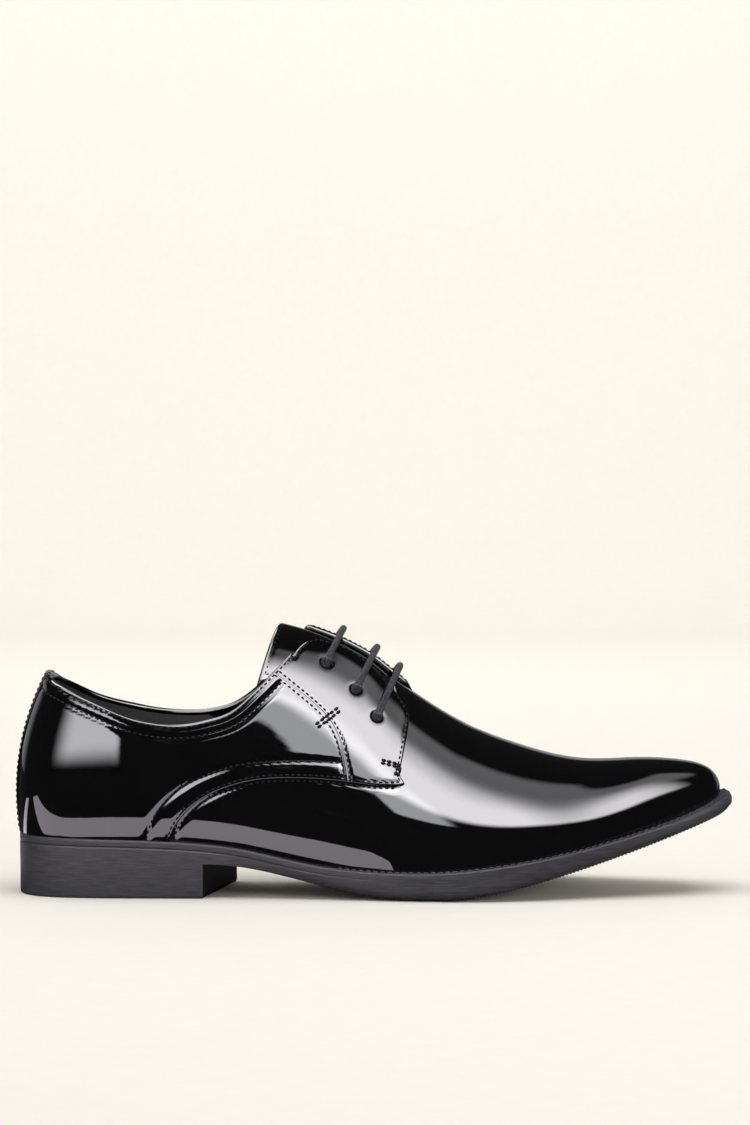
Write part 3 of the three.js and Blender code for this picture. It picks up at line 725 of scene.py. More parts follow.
# Troughs along the lines of the quarters, and one swell between the rows of the collar: line,
# distance from it, depth, width, and the part of the quarters that has it
QUARTER_TROUGHS = [
    ("top", ROW_INSET, 0.05, 0.8, "all"),
    ("top", COLLAR_ROW, 0.4, 1.5, "rear"),
    ("top", COLLAR_SWELL, -0.35, 1.5, "rear"),
    ("throat", ROW_INSET, 0.12, 0.8, "all"),
    ("edge", SEAM_ROW, 0.14, 0.9, "all"),
    ("eyestay", 0.0, 0.12, 0.4, "all"),
    ("eyestay", SEAM_ROW, 0.08, 0.7, "all"),
    ("eyestay", -SEAM_ROW, 0.08, 0.7, "all"),
    ("arc", 0.0, 0.5, 1.5, "rear"),
    ("hole", 0.0, 0.22, 1.4, "fore"),
]


def quarter_relief(fields):
    """Troughs and swells of the quarters over their smooth layer, and their slopes."""
    past_facing = fields["eyestay"][0]
    parts = {"all": 1.0, "rear": smooth((past_facing - 0.5) / 1.5),
             "fore": smooth((2.5 - past_facing) / 1.5)}
    height = np.zeros(len(past_facing))
    slope = np.zeros((len(past_facing), 3))
    for name, place, depth, width, part in QUARTER_TROUGHS:
        distance, toward = fields[name]
        low, lean = valley(distance, place, depth, width)
        height += low * parts[part]
        slope += (lean * parts[part])[:, None] * toward
    return height, slope


def make_quarters(material, net=(340, 200)):
    """Both quarters with their facings in one skin, seamed at the back."""
    eyelets = find_eyelets()
    values, faces = flat_net(*net)
    u, v = values[:, 0], values[:, 1]
    _, _, fields = quarter_fields(u, v, eyelets)
    values = np.column_stack([values] + [fields[name][0] for name in QUARTER_COLUMNS])
    for column in range(2, 6):
        values, faces = keep_over(values, faces, column)
    POCKET["quarters"] = (values, faces)
    for column in range(2, 6):
        for level in EDGE_LEVELS:
            values, faces = cut_along(values, faces, column, level)
    for level in LINE_LEVELS:
        values, faces = cut_along(values, faces, 6, level)
    values, faces = compact(faces, values)
    u, v = values[:, 0], values[:, 1]
    point, normal, fields = quarter_fields(u, v, eyelets)
    for column, name in zip(range(2, 6), QUARTER_COLUMNS):
        rim_there = np.abs(values[:, column]) < 1e-9
        fields[name][0][rim_there] = 0.0
    outer = quarter_outer(v, point[:, 0])
    inner = quarter_inner(v, point[:, 0])
    over_vamp = smooth((7.5 - fields["edge"][0]) / 2.0)
    inner = mix(inner, np.maximum(inner, 0.05), over_vamp)
    half = (outer - inner) / 2
    full = np.ones(len(u))
    lean = np.zeros((len(u), 3))
    for name in ("edge", "top", "throat", "hole"):
        distance, toward = fields[name]
        q, slope = rim(distance, EDGE_RADIUS)
        lean = lean * q[:, None] + toward * (slope * full)[:, None]
        full = full * q
    height, slope = quarter_relief(fields)
    relief = -half * (1 - full) + height * full
    grown = half[:, None] * lean + slope * full[:, None]
    sunk = -(outer - inner) + half * (1 - full)
    outer_points = on_feather(point + normal * relief[:, None], u, v)
    inner_points = on_feather(point + normal * sunk[:, None], u, v)
    outer_normals = unit(normal - grown)
    inner_normals = unit(-normal - half[:, None] * lean)
    solid = thicken(outer_points, inner_points, faces, outer_normals, inner_normals)
    piece = make_piece("quarters", *drop_unused(*solid), material=material)
    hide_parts("upper")


VAMP_TROUGH = (0.34, 1.3)
# Creases across the flex of the vamp: along the shoe, lean, depth and width in millimetres
CREASES = [(196.0, 0.16, 0.16, 4.2), (207.0, -0.1, 0.1, 4.8)]


def vamp_fields(u, v):
    point, normal = skin(u, v, lambda v, x: np.zeros_like(x))
    tucked, away = TUCKED.at(v, point, normal)
    return point, normal, {"tucked": (-tucked, -away), "edge": EDGE.at(v, point, normal)}


def vamp_creases(point):
    """Soft creases across the flex of the vamp, placed one by one."""
    height = np.zeros(len(point))
    slope = np.zeros((len(point), 3))
    for x, lean, depth, width in CREASES:
        ridge = smooth((point[:, 2] - 42) / 22)
        t = (point[:, 0] - x - lean * point[:, 1]) / width
        low = -depth * np.exp(-t * t) * ridge
        height += low
        slope[:, 0] += low * -2 * t / width
    return height, slope


def make_vamp(material, net=(340, 190)):
    """The vamp over the toes, tucked under the quarters."""
    values, faces = flat_net(*net)
    _, _, fields = vamp_fields(values[:, 0], values[:, 1])
    values = np.column_stack([values, fields["tucked"][0], fields["edge"][0]])
    values, faces = keep_over(values, faces, 2)
    POCKET["vamp"] = (values, faces)
    for level in EDGE_LEVELS:
        values, faces = cut_along(values, faces, 2, level)
    u, v = values[:, 0], values[:, 1]
    point, normal, fields = vamp_fields(u, v)
    fields["tucked"][0][np.abs(values[:, 2]) < 1e-9] = 0.0
    q, lean = rim(fields["tucked"][0], 1.0)
    low, slope = valley(fields["edge"][0], -SEAM_ROW, *VAMP_TROUGH)
    seam = smooth((54 - point[:, 2]) / 3) * smooth((168 - point[:, 0]) / 6)
    crease, crease_slope = vamp_creases(point)
    relief = -WALL / 2 * (1 - q) + low * seam + crease
    grown = (WALL / 2 * lean)[:, None] * fields["tucked"][1]
    grown += (slope * seam)[:, None] * fields["edge"][1] + crease_slope
    sunk = -WALL + WALL / 2 * (1 - q)
    outer_points = on_feather(point + normal * relief[:, None], u, v)
    inner_points = on_feather(point + normal * sunk[:, None], u, v)
    inner_normals = unit(-normal - (WALL / 2 * lean)[:, None] * fields["tucked"][1])
    solid = thicken(outer_points, inner_points, faces, unit(normal - grown), inner_normals)
    piece = make_piece("vamp", *drop_unused(*solid), material=material)
    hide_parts("upper")


LINING_START = 2.4
LINING_THICKNESS = 0.7


def make_lining(material, net=(170, 100)):
    """Lining of the quarters, from under the collar's edge down to the insole."""
    eyelets = find_eyelets()
    values, faces = flat_net(*net)
    point, _, fields = quarter_fields(values[:, 0], values[:, 1], eyelets)
    share = facing_share(values[:, 1], point[:, 0])
    values = np.column_stack([values, fields["top"][0], fields["edge"][0], 0.02 - share])
    values, faces = keep_over(values, faces, 2, LINING_START)
    values, faces = keep_over(values, faces, 3, 8.0)
    values, faces = keep_over(values, faces, 4)
    for level in (0.15, 0.4, 0.9):
        values, faces = cut_along(values, faces, 2, LINING_START + level)
    u, v = values[:, 0], values[:, 1]
    base, out = last(u, v)
    q = rim(values[:, 2] - LINING_START, 0.8)[0]
    low = valley(values[:, 2], COLLAR_ROW, 0.3, 1.2)[0]
    middle = -WALL - LINING_THICKNESS / 2 - 0.02
    half = LINING_THICKNESS / 2 * q
    near = on_feather(base + out * (middle - half - low)[:, None], u, v)
    back = on_feather(base + out * (middle + half)[:, None], u, v)
    faces = [face[::-1] for face in faces]
    solid = thicken(near, back, faces, -out, out)
    piece = make_piece("quarter_lining", *drop_unused(*solid), material=material)
    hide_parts("upper")


# Sheets with four sides
def grid_faces(rows, columns, offset=0, flip=False, closed=False):
    faces = []
    wide = columns if closed else columns + 1
    for i in range(rows):
        for j in range(columns):
            a, b = i * wide + j, i * wide + (j + 1) % wide
            c, d = (i + 1) * wide + (j + 1) % wide, (i + 1) * wide + j
            face = [a + offset, d + offset, c + offset, b + offset]
            faces.append(face[::-1] if flip else face)
    return faces


def grid_normals(points):
    along = np.gradient(points, axis=0)
    across = np.gradient(points, axis=1)
    return unit(np.cross(along, across))


def closed_sheet(outer, inner):
    """Two layers of one grid that meet along their rims, with smooth normals."""
    rows, columns = outer.shape[0] - 1, outer.shape[1] - 1
    faces = grid_faces(rows, columns)
    flat_outer, flat_inner = outer.reshape(-1, 3), inner.reshape(-1, 3)
    return thicken(flat_outer, flat_inner, faces,
                   grid_normals(outer).reshape(-1, 3), -grid_normals(inner).reshape(-1, 3))


def side_rim(share, length, radius):
    """Rounding towards both ends of a run of shares over a length in millimetres."""
    distance = np.minimum(share, 1 - share) * length
    return rim(distance, radius)[0]


def clustered(count, edge_share, edge_count=5):
    """Shares from 0 to 1 that lie closer together at both ends."""
    near = edge_share * np.linspace(0, 1, edge_count + 1) ** 2
    body = np.linspace(edge_share, 1 - edge_share, count - 2 * edge_count + 1)
    return np.concatenate([near, body[1:-1], 1 - near[::-1]])


TONGUE_LENGTH = 52.0
TONGUE_WIDTH = 80.0
TONGUE_ROW = 2.2
TONGUE_SIDE_ROW = 2.4
TONGUE_ROW_DEPTH = 0.3


def tongue_place(s, t, lift):
    reach = mix(TONGUE["top_edge"], TONGUE["front_edge"], s)
    v = mix(reach, 1 - reach, t)
    to_side = (2 * t - 1) ** 2
    top = mix(TONGUE["top"], TONGUE["top_side"], to_side)
    front = mix(TONGUE["front"], TONGUE["front_side"], to_side)
    u = station_at(mix(top, front, s) * SHOE_LENGTH - CLEARANCE, v)
    shape = u.shape
    u, v = u.ravel(), np.broadcast_to(v, shape).ravel()
    point, normal = last(u, v)
    offset = quarter_inner(v, point[:, 0]) - TONGUE_CLEARANCE + lift.ravel()
    return on_feather(point + normal * offset[:, None], u, v).reshape(shape + (3,))


def make_tongue(material):
    """The padded tongue under the facings."""
    s, t = np.meshgrid(clustered(90, 0.03), clustered(110, 0.02), indexing="ij")
    q = side_rim(s, TONGUE_LENGTH, EDGE_RADIUS) * side_rim(t, TONGUE_WIDTH, EDGE_RADIUS)
    top_row = valley(s * TONGUE_LENGTH, TONGUE_ROW, 0.05, 0.9)[0]
    side_row = valley(np.minimum(t, 1 - t) * TONGUE_WIDTH, TONGUE_ROW, 0.12, 0.9)[0]
    half = TONGUE_THICKNESS / 2
    outer = tongue_place(s, t, -half * (1 - q) + (top_row + side_row) * q)
    inner = tongue_place(s, t, -TONGUE_THICKNESS + half * (1 - q))
    solid = closed_sheet(outer, inner)
    piece = make_piece("padded_tongue", *solid, material=material)
    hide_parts("tongue")


def topline_height(x):
    line = curve_through(side_points([(row[0], row[1]) for row in TOPLINE]), 120)
    return np.interp(x, line[:, 0], line[:, 1])


def backstay_grid(s_rows, t_columns, lift):
    """Grid of the strip over the back seam: up the outside, over the collar, down inside."""
    y = mix(-BACKSTAY_WIDTH / 2, BACKSTAY_WIDTH / 2, np.asarray(t_columns))
    wide, steps = len(y), 240
    w = np.repeat(np.linspace(0, 0.42, steps), wide)
    across = np.tile(y, steps)
    v = np.where(across < 0, w, 1 - w)
    u = bisect(np.zeros(len(v)), np.full(len(v), 0.3),
               lambda u: np.abs(last(u, v)[0][:, 1]) < np.abs(across))
    point, normal = last(u, v)
    point, normal = point.reshape(steps, wide, 3), normal.reshape(steps, wide, 3)
    over = point[..., 2] - topline_height(point[..., 0])
    columns = np.arange(wide)
    top = np.array([np.interp(0.0, over[:, j], np.arange(steps)) for j in columns])

    def at(place):
        low = np.clip(place.astype(int), 0, steps - 2)
        share = (place - low)[:, None]
        return (mix(point[low, columns], point[low + 1, columns], share),
                unit(mix(normal[low, columns], normal[low + 1, columns], share)))
    rim_height = at(top)[0][:, 2]
    rows = []
    for s in s_rows:
        if s <= 1:
            middle, out = at(top * s)
            rows.append(middle + out * (QUARTER_STEP + lift)[:, None])
        elif s <= 2:
            turn = (s - 1) * math.pi
            middle, out = at(top)
            outside, inside = QUARTER_STEP + lift, -WALL - lift - CLEARANCE
            bulge = math.copysign(math.sqrt(abs(math.cos(turn))), math.cos(turn))
            middle = middle + out * mix(inside, outside, 0.5 + bulge / 2)[:, None]
            middle[:, 2] += lift * math.sqrt(max(math.sin(turn), 0.0))
            rows.append(middle)
        else:
            depth = rim_height - (s - 2) * BACKSTAY_FOLD
            place = np.array([np.interp(depth[j], point[:, j, 2], np.arange(steps))
                              for j in columns])
            middle, out = at(place)
            rows.append(middle - out * (WALL + lift + CLEARANCE)[:, None])
    return np.array(rows)


def make_backstay(material):
    """The strip over the back seam, folded over the collar."""
    s_rows = np.concatenate([np.linspace(0.0, 1, 60), 1 + np.linspace(0, 1, 17)[1:],
                             2 + np.linspace(0, 1, 14)[1:]])
    t_columns = clustered(34, 0.06)
    q = side_rim(np.asarray(t_columns), BACKSTAY_WIDTH, 0.8)
    half = BACKSTAY_THICKNESS / 2
    outer = backstay_grid(s_rows, t_columns, BACKSTAY_GAP + half + half * q)
    inner = backstay_grid(s_rows, t_columns, BACKSTAY_GAP + half - half * q)
    outer, inner = outer.transpose(1, 0, 2)[::-1], inner.transpose(1, 0, 2)[::-1]
    solid = closed_sheet(outer, inner)
    piece = make_piece("back_strip", *solid, material=material)
    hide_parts("backstay")


# Tubes: lace bars and stitches
def tube(path, radii, sides, close=True):
    """A round tube along a path, with its points, faces and normals."""
    path = np.asarray(path, float)
    tangent = unit(np.gradient(path, axis=0))
    side = np.cross(tangent[0], (0.0, 0.0, 1.0))
    if np.linalg.norm(side) < 1e-3:
        side = np.array([1.0, 0.0, 0.0])
    points, normals = [], []
    side = unit(side)
    for centre, direction, radius in zip(path, tangent, radii):
        side = unit(side - direction * (side @ direction))
        up = np.cross(direction, side)
        for k in range(sides):
            angle = 2 * math.pi * k / sides
            out = math.cos(angle) * side + math.sin(angle) * up
            points.append(centre + out * radius)
            normals.append(out)
    faces = grid_faces(len(path) - 1, sides, closed=True, flip=True)
    if close:
        faces.append(list(range(sides))[::-1])
        base = (len(path) - 1) * sides
        faces.append([base + k for k in range(sides)])
    return np.array(points), faces, np.array(normals)


def facing_point(eyelet_x, eyelet_v, centre, share, lift):
    v = mix(eyelet_v, 1 - eyelet_v, share)
    point = centre
    for _ in range(6):
        x = eyelet_x + LACE_LEAN * (point[2] - centre[2])
        u = float(station_at(x, v))
        base, normal = last(u, v)
        point = base[0] + normal[0] * (quarter_outer(v, base[0, 0]) + lift)
    return point


def lace_path(outer, inner, radius):
    """Centre line of a bar from one eyelet over the facings to the other."""
    over = radius + 0.35
    _, around, centre, _ = outer
    x = last(outer[0], around)[0][0, 0]
    shares = [0.16, 0.27, 0.38, 0.5, 0.62, 0.73, 0.84]
    bar = [facing_point(x, around, centre, s, over + LACE_ARCH * math.sin(math.pi * s) ** 2)
           for s in shares]

    def end(hole, toward):
        _, _, middle, out = hole
        along = unit(toward - middle)
        return [middle - out * LACE_IN_HOLE, middle - out * 0.6 + along * 0.1,
                middle + out * over * 0.55 + along * radius * 0.35,
                middle + out * over * 1.05 + along * radius * 1.3]
    path = end(outer, bar[0]) + bar + end(inner, bar[-1])[::-1]
    return curve_through(path, 90)


LACE_SIDES = 22
LACE_FLARE = 0.62


def make_laces(material, diameter):
    """Three waxed lace bars through their eyelets."""
    eyelets = find_eyelets()
    for k in range(3):
        outer, inner = eyelets[2 * k], eyelets[2 * k + 1]
        radius = diameter / 2
        path = lace_path(outer, inner, radius)
        run = run_along(path)
        from_end = np.minimum(run, run[-1] - run)
        flare = np.exp(-((from_end - 3.2) / 3.0) ** 2) * LACE_FLARE
        wobble = 0.03 * np.sin(run * 2.1 + k)
        radii = radius * (1 + flare + wobble)
        points, faces, normals = tube(path, radii, LACE_SIDES)
        piece = make_piece(f"lace_bar_cord_{k + 1}", points, faces, normals, material)
        layer = piece.data.attributes.new("run", "FLOAT", "POINT")
        turn = piece.data.attributes.new("turn", "FLOAT", "POINT")
        if len(piece.data.vertices) == len(points):
            turns = np.tile(np.arange(LACE_SIDES) / LACE_SIDES, len(run))
            layer.data.foreach_set("value", np.repeat(run, LACE_SIDES).astype(np.float32))
            turn.data.foreach_set("value", turns.astype(np.float32))
        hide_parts(f"lace_bar_{k + 1}")


def resample(points, normals, pitch):
    """Even steps along a line of points, and how long they are."""
    run = run_along(points)
    count = max(int(round(run[-1] / pitch)), 1)
    at = np.linspace(0, run[-1], count + 1)
    line = np.stack([np.interp(at, run, points[:, k]) for k in range(3)], 1)
    out = np.stack([np.interp(at, run, normals[:, k]) for k in range(3)], 1)
    return line, unit(out)


def stitch_run(points, normals, pitch, length_share, radius, sink):
    """Thread dashes along one row, each an arched bar that dives into the leather."""
    line, out = resample(points, normals, pitch)
    verts, faces, shades = [], [], []
    for a, b, n0, n1 in zip(line[:-1], line[1:], out[:-1], out[1:]):
        middle, n = (a + b) / 2, unit(n0 + n1)
        half = (b - a) / 2 * length_share
        if np.linalg.norm(half) < 0.1:
            continue
        path = []
        steps = (-1.0, -0.8, -0.4, 0.0, 0.4, 0.8, 1.0)
        for t in steps:
            arch = radius * (0.55 - 1.5 * t ** 4) - sink
            path.append(middle + half * t + n * arch)
        radii = [radius * w for w in (0.45, 0.85, 1.0, 1.0, 1.0, 0.85, 0.45)]
        p, f, s = tube(path, radii, 6)
        base = sum(len(v) for v in verts)
        verts.append(p)
        faces += [[i + base for i in face] for face in f]
        shades.append(s)
    if not verts:
        return None
    return np.vstack(verts), faces, np.vstack(shades)


def sew(line, normals, sizes, thick=1.0):
    """One row of a seam, with the stitch and thread of the sidebar."""
    radius = sizes.thread_diameter / MM / 2
    return stitch_run(line, normals, sizes.stitch_pitch / MM, DASH, radius * thick, SUNK)


def join_runs(runs):
    verts, faces, shades = [], [], []
    base = 0
    for run in runs:
        if run is None:
            continue
        verts.append(run[0])
        faces += [[i + base for i in face] for face in run[1]]
        shades.append(run[2])
        base += len(run[0])
    return np.vstack(verts), faces, np.vstack(shades)


def quarter_rows():
    """Stitch rows of the quarters as points and normals on the leather."""
    values, faces = POCKET["quarters"]
    eyelets = find_eyelets()
    edge, top, throat, _, eyestay, arc = range(2, 8)
    rules = [
        (top, ROW_INSET, lambda p: p[throat] > ROW_INSET and p[edge] > ROW_INSET),
        (top, COLLAR_ROW, lambda p: p[eyestay] > SEAM_ROW and p[edge] > 5),
        (throat, ROW_INSET, lambda p: p[top] > ROW_INSET and p[edge] > ROW_INSET),
        (edge, SEAM_ROW, lambda p: p[throat] > SEAM_ROW and p[top] > SEAM_ROW),
        (eyestay, SEAM_ROW, lambda p: p[top] > 0.6 and p[edge] > 0.4),
        (eyestay, -SEAM_ROW, lambda p: p[top] > 0.6 and p[edge] > 0.4),
        (arc, 0.0, lambda p: p[eyestay] > SEAM_ROW + 0.6 and p[edge] > 1.0),
    ]
    rows = []
    for column, level, keep in rules:
        for line in trace(values, faces, column, level, keep):
            u, v = line[:, 0], line[:, 1]
            point, normal, fields = quarter_fields(u, v, eyelets)
            height, _ = quarter_relief(fields)
            rows.append((point + normal * height[:, None], normal, 1.0))
    for outer in (True, False):
        for bar, gap in ((CROSS_BAR, 0.8), (CORNER_BAR, 0.6)):
            shift = 0.0 if outer else INNER_QUARTER_FORWARD
            line = np.array(bar)
            fine = np.vstack([mix(line[i], line[i + 1], t) for i in range(len(line) - 1)
                              for t in (0.0, 0.25, 0.5, 0.75)] + [line[-1]])
            lean = unit(np.gradient(fine, axis=0))
            for turn in (-gap, gap):
                drawn = fine + np.stack([-lean[:, 1], lean[:, 0]], 1) * turn
                u, v = spots(drawn[:, 0] + shift, drawn[:, 1], outer)
                point, normal, fields = quarter_fields(u, v, eyelets)
                height, _ = quarter_relief(fields)
                rows.append((point + normal * height[:, None], normal, BAR_THREAD))
    return rows


def vamp_rows():
    """The stitch row of the vamp below the quarters' edge."""
    values, faces = POCKET["vamp"]
    rows = []

    def keep(p):
        point = last(p[0], p[1])[0][0]
        return point[2] < 52.5 and point[0] < 163.5
    for line in trace(values, faces, 3, -SEAM_ROW, keep):
        point, normal, fields = vamp_fields(line[:, 0], line[:, 1])
        low = valley(fields["edge"][0], -SEAM_ROW, *VAMP_TROUGH)[0]
        rows.append((point + normal * low[:, None], normal, 1.0))
    return rows


def make_stitches(material, sizes):
    """Thread rows of the quarters and vamp."""
    for name, rows in (("quarter_stitches", quarter_rows()), ("vamp_stitches", vamp_rows())):
        runs = [sew(line, normals, sizes, thick) for line, normals, thick in rows]
        piece = make_piece(name, *join_runs(runs), material=material)


def make_tongue_stitches(material, sizes):
    """Thread rows across the tongue's top and down its sides."""
    top, side = TONGUE_ROW / TONGUE_LENGTH, TONGUE_SIDE_ROW / TONGUE_WIDTH
    down = np.linspace(top, 0.7, 40)
    rows = [(np.full(80, top), np.linspace(0.03, 0.97, 80))]
    rows += [(down, np.full(40, edge)) for edge in (side, 1 - side)]
    runs = []
    for s, t in rows:
        lift = np.zeros(len(s)) - TONGUE_ROW_DEPTH
        line = tongue_place(s, t, lift)
        runs.append(sew(line, unit(tongue_place(s, t, lift + 1) - line), sizes))
    piece = make_piece("tongue_stitches", *join_runs(runs), material=material)


def make_back_stitches(material, sizes):
    """Thread rows along both edges of the strip over the back seam."""
    runs = []
    s_rows = np.concatenate([np.linspace(0.02, 1, 70), 1 + np.linspace(0, 1, 12)[1:],
                             2 + np.linspace(0, 0.85, 10)[1:]])
    for edge in (ROW_INSET, BACKSTAY_WIDTH - ROW_INSET):
        columns = np.array([edge, edge]) / BACKSTAY_WIDTH
        lift = BACKSTAY_GAP + BACKSTAY_THICKNESS
        line = backstay_grid(s_rows, columns, np.full(2, lift))[:, 0]
        above = backstay_grid(s_rows, columns, np.full(2, lift + 1))[:, 0]
        runs.append(sew(line, unit(above - line), sizes))
    piece = make_piece("back_strip_stitches", *join_runs(runs), material=material)


# Sole
def feather_loop(count):
    """The feather line once around from the back, with its outward directions."""
    shares = even_shares(lambda u: last(u, 0.0)[0], count)
    outer = last(shares, np.zeros_like(shares))[0]
    inner = last(shares[1:-1][::-1], np.ones(len(shares) - 2))[0]
    loop = np.vstack([outer, inner])
    along = np.roll(loop, -1, axis=0) - np.roll(loop, 1, axis=0)
    return loop, unit(np.stack([along[:, 1], -along[:, 0], np.zeros(len(loop))], 1))


def ledge_at(x):
    share = x / SHOE_LENGTH
    waist = mix(HEEL_LEDGE, WAIST_LEDGE, smooth((share - 0.42) / 0.16))
    return mix(waist, TOE_LEDGE, smooth((share - 0.75) / 0.24))


def fore_share(x):
    return smooth((x - HEEL_LENGTH) / (FLAT_START - HEEL_LENGTH))


def bottom_at(x):
    tip = TIP_LIFT * np.maximum((x - FLAT_END) / (SHOE_LENGTH - FLAT_END), 0) ** 1.4
    heel = HEEL_BLOCK_HEIGHT * smooth((FLAT_START - x) / (FLAT_START - HEEL_LENGTH))
    return np.where(x > FLAT_END, tip, heel)


LOOP, LOOP_OUT = feather_loop(900)


def sole_outline(inset):
    return LOOP + LOOP_OUT * (ledge_at(LOOP[:, 0]) - inset)[:, None]


MIDDLE_LINE = sole_outline(0.0)
MIDDLE = ((SOLE_LOW[1] + SOLE_HIGH[1]) / 2
          - (MIDDLE_LINE[:, 1].min() + MIDDLE_LINE[:, 1].max()) / 2 * MM)


def cap_faces(base, count, flip):
    faces = []
    for i in range(count // 2):
        near, far = (count - i) % count, count - i - 1
        face = [base + i, base + i + 1, base + far, base + near]
        face = list(dict.fromkeys(face))
        if len(face) > 2:
            faces.append(face[::-1] if flip else face)
    return faces


def loft(rings, sharp, name, material):
    count = len(rings[0])
    points = np.vstack(rings)
    faces = grid_faces(len(rings) - 1, count, closed=True, flip=False)
    faces += cap_faces(0, count, False)
    faces += cap_faces((len(rings) - 1) * count, count, True)
    return make_piece(name, points, faces, None, material, sharp)


def make_sole(material, sizes):
    """The moulded sole: side line, rounded forefoot edge and fine treads.

    Each ring has its drop, its share of the way to the ground, and its inset at heel and forefoot.
    """
    loop, out = LOOP, LOOP_OUT
    x = loop[:, 0]
    fore = fore_share(x)
    ledge = ledge_at(x)
    rows = [(0.0, 0.0, None, None), (0.0, 0.0, 1.5, 1.5), (0.06, 0, 0.8, 0.8),
            (0.25, 0, 0.3, 0.3), (0.6, 0, 0.06, 0.06), (1.1, 0, 0.0, 0.0)]
    for step, deep in ((-0.75, 0.0), (-0.45, 0.12), (-0.2, 0.75), (0.0, 1.0), (0.2, 0.75),
                       (0.45, 0.12), (0.75, 0.0)):
        rows.append((SIDE_LINE_DROP + step, 0, SIDE_LINE_DEPTH * deep, -0.1))
    for share in (1 / 3, 2 / 3):
        drop = mix(SIDE_LINE_DROP + 0.75, -EDGE_ROUNDING, share)
        rows.append((drop, share, 0, -0.1 * (1 - share)))
    for angle in np.linspace(0, 90, 8):
        a = math.radians(angle)
        rows.append((-EDGE_ROUNDING * (1 - math.sin(a)), 1, 0.0,
                     EDGE_ROUNDING * EDGE_SLANT * (1 - math.cos(a))))
    tread = sizes.tread_pitch / MM
    toe = smooth((x / SHOE_LENGTH - 0.86) / 0.12)
    rings = []
    for drop, share, inset, fore_inset in rows:
        if inset is None:
            inner_inset = ledge + 4.0
        else:
            inner_inset = mix(inset, fore_inset, fore)
            if share == 0:
                left = max(NOSE_ROUNDING - drop, 0.0)
                fold = NOSE_ROUNDING - math.sqrt(NOSE_ROUNDING ** 2 - left ** 2)
                inner_inset = inner_inset + toe * fold
        edge = loop + out * (ledge - inner_inset)[:, None]
        top = loop[:, 2] - CLEARANCE
        bottom = bottom_at(edge[:, 0])
        edge[:, 2] = top - drop - share * (top - bottom)
        if share == 1 and drop > -TREAD_HEIGHT:
            wave = np.clip(np.sin(edge[:, 0] * 2 * math.pi / tread) * 2.0, -1, 1)
            under = smooth((edge[:, 0] - TREAD_START) / 10)
            under = under * smooth((SHOE_LENGTH - 4 - edge[:, 0]) / 8)
            edge[:, 2] += TREAD_DEPTH * (1 + wave) / 2 * under * (1 + drop / TREAD_HEIGHT)
        rings.append(edge)
    piece = loft(rings, 40, "sole_unit", material)
    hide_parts("sole")


def breast_x(y):
    t = y / HALF_BALL
    return HEEL_LENGTH + BREAST_SLANT * (t + 0.7) / 1.4 - BREAST_HOLLOW * (1 - t * t)


def make_heel(material):
    """The heel block under the seat, with its hollow slanted breast."""
    def outline(inset):
        edge = sole_outline(inset)[:, :2]
        behind_breast = edge[:, 0] < breast_x(edge[:, 1])
        half = len(edge) // 2
        outer = [p for p, keep in zip(edge[:half], behind_breast[:half]) if keep]
        inner = [p for p, keep in zip(edge[half:], behind_breast[half:]) if keep]
        y = np.linspace(outer[-1][1], inner[0][1], 60)
        breast = np.stack([breast_x(y) - inset * 0.6, y], 1)
        return np.vstack([outer, breast[1:-1], inner])
    rows = [(HEEL_BLOCK_HEIGHT + 0.5, 0.03), (1.3, 0.03), (0.7, 0.1), (0.3, 0.28), (0.08, 0.55),
            (0.0, 0.95)]
    base = outline(0.03)
    along = np.roll(base, -1, axis=0) - np.roll(base, 1, axis=0)
    out = unit(np.stack([along[:, 1], -along[:, 0]], 1))
    rings = []
    for z, inset in rows:
        ring = base - out * (inset - 0.03)
        rings.append(np.column_stack([ring, np.full(len(ring), z)]))
    count = len(base)
    points = np.vstack(rings)
    faces = grid_faces(len(rings) - 1, count, closed=True)
    faces.append(list(range(count)))
    faces.append([(len(rings) - 1) * count + i for i in range(count)][::-1])
    piece = make_piece("heel_block", points, faces, None, material, 35)
    # The breast faces take a far darker rubber: painted shade under the arch of the shoe.
    piece.data.materials.append(finish_of("painted breast shade"))
    toe_side = max(polygon.center.x for polygon in piece.data.polygons) - BREAST_REACH * MM
    for polygon in piece.data.polygons:
        if abs(polygon.normal.x) > 0.6 and polygon.center.x > toe_side:
            polygon.material_index = 1
    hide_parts("sole")


def make_welt_stitches(material):
    """Imitation welt stitches on the ledge around the forefoot."""
    line = sole_outline(ledge_at(LOOP[:, 0]) * 0.55)
    line[:, 2] = LOOP[:, 2] - CLEARANCE
    line = line[line[:, 0] > WELT_START]
    normals = np.tile((0.0, 0.0, 1.0), (len(line), 1))
    run = stitch_run(line, normals, WELT_STITCH, 0.72, 0.42, 0.0)
    piece = make_piece("welt_stitches", *run, material=material)


def make_insole(material):
    """The sock on the insole, slightly dished, seen through the collar."""
    loop, out = LOOP[::2], LOOP_OUT[::2]
    inset = WALL + CLEARANCE + LINING_THICKNESS + 0.35
    rows = [(INSOLE_THICKNESS - 0.6, 14.0), (INSOLE_THICKNESS - 0.35, 8.0),
            (INSOLE_THICKNESS - 0.1, 3.0), (INSOLE_THICKNESS, 1.2),
            (INSOLE_THICKNESS - 0.15, 0.4), (INSOLE_THICKNESS - 0.6, 0.0), (0.02, 0.0)]
    rings = []
    for lift, extra in rows:
        room = np.abs(loop[:, 1]) * 0.6
        ring = loop - out * (inset + np.minimum(extra, room))[:, None]
        ring[:, 2] = loop[:, 2] + lift
        rings.append(ring)
    piece = loft(rings, 50, "insole_sock", material)
    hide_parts("insole")


# Materials
def new_material(name):
    material = bpy.data.materials.new(name)
    material.use_nodes = True
    tree = material.node_tree
    shader = tree.nodes["Principled BSDF"]
    place = tree.nodes.new("ShaderNodeTexCoord")
    return material, tree, shader, place


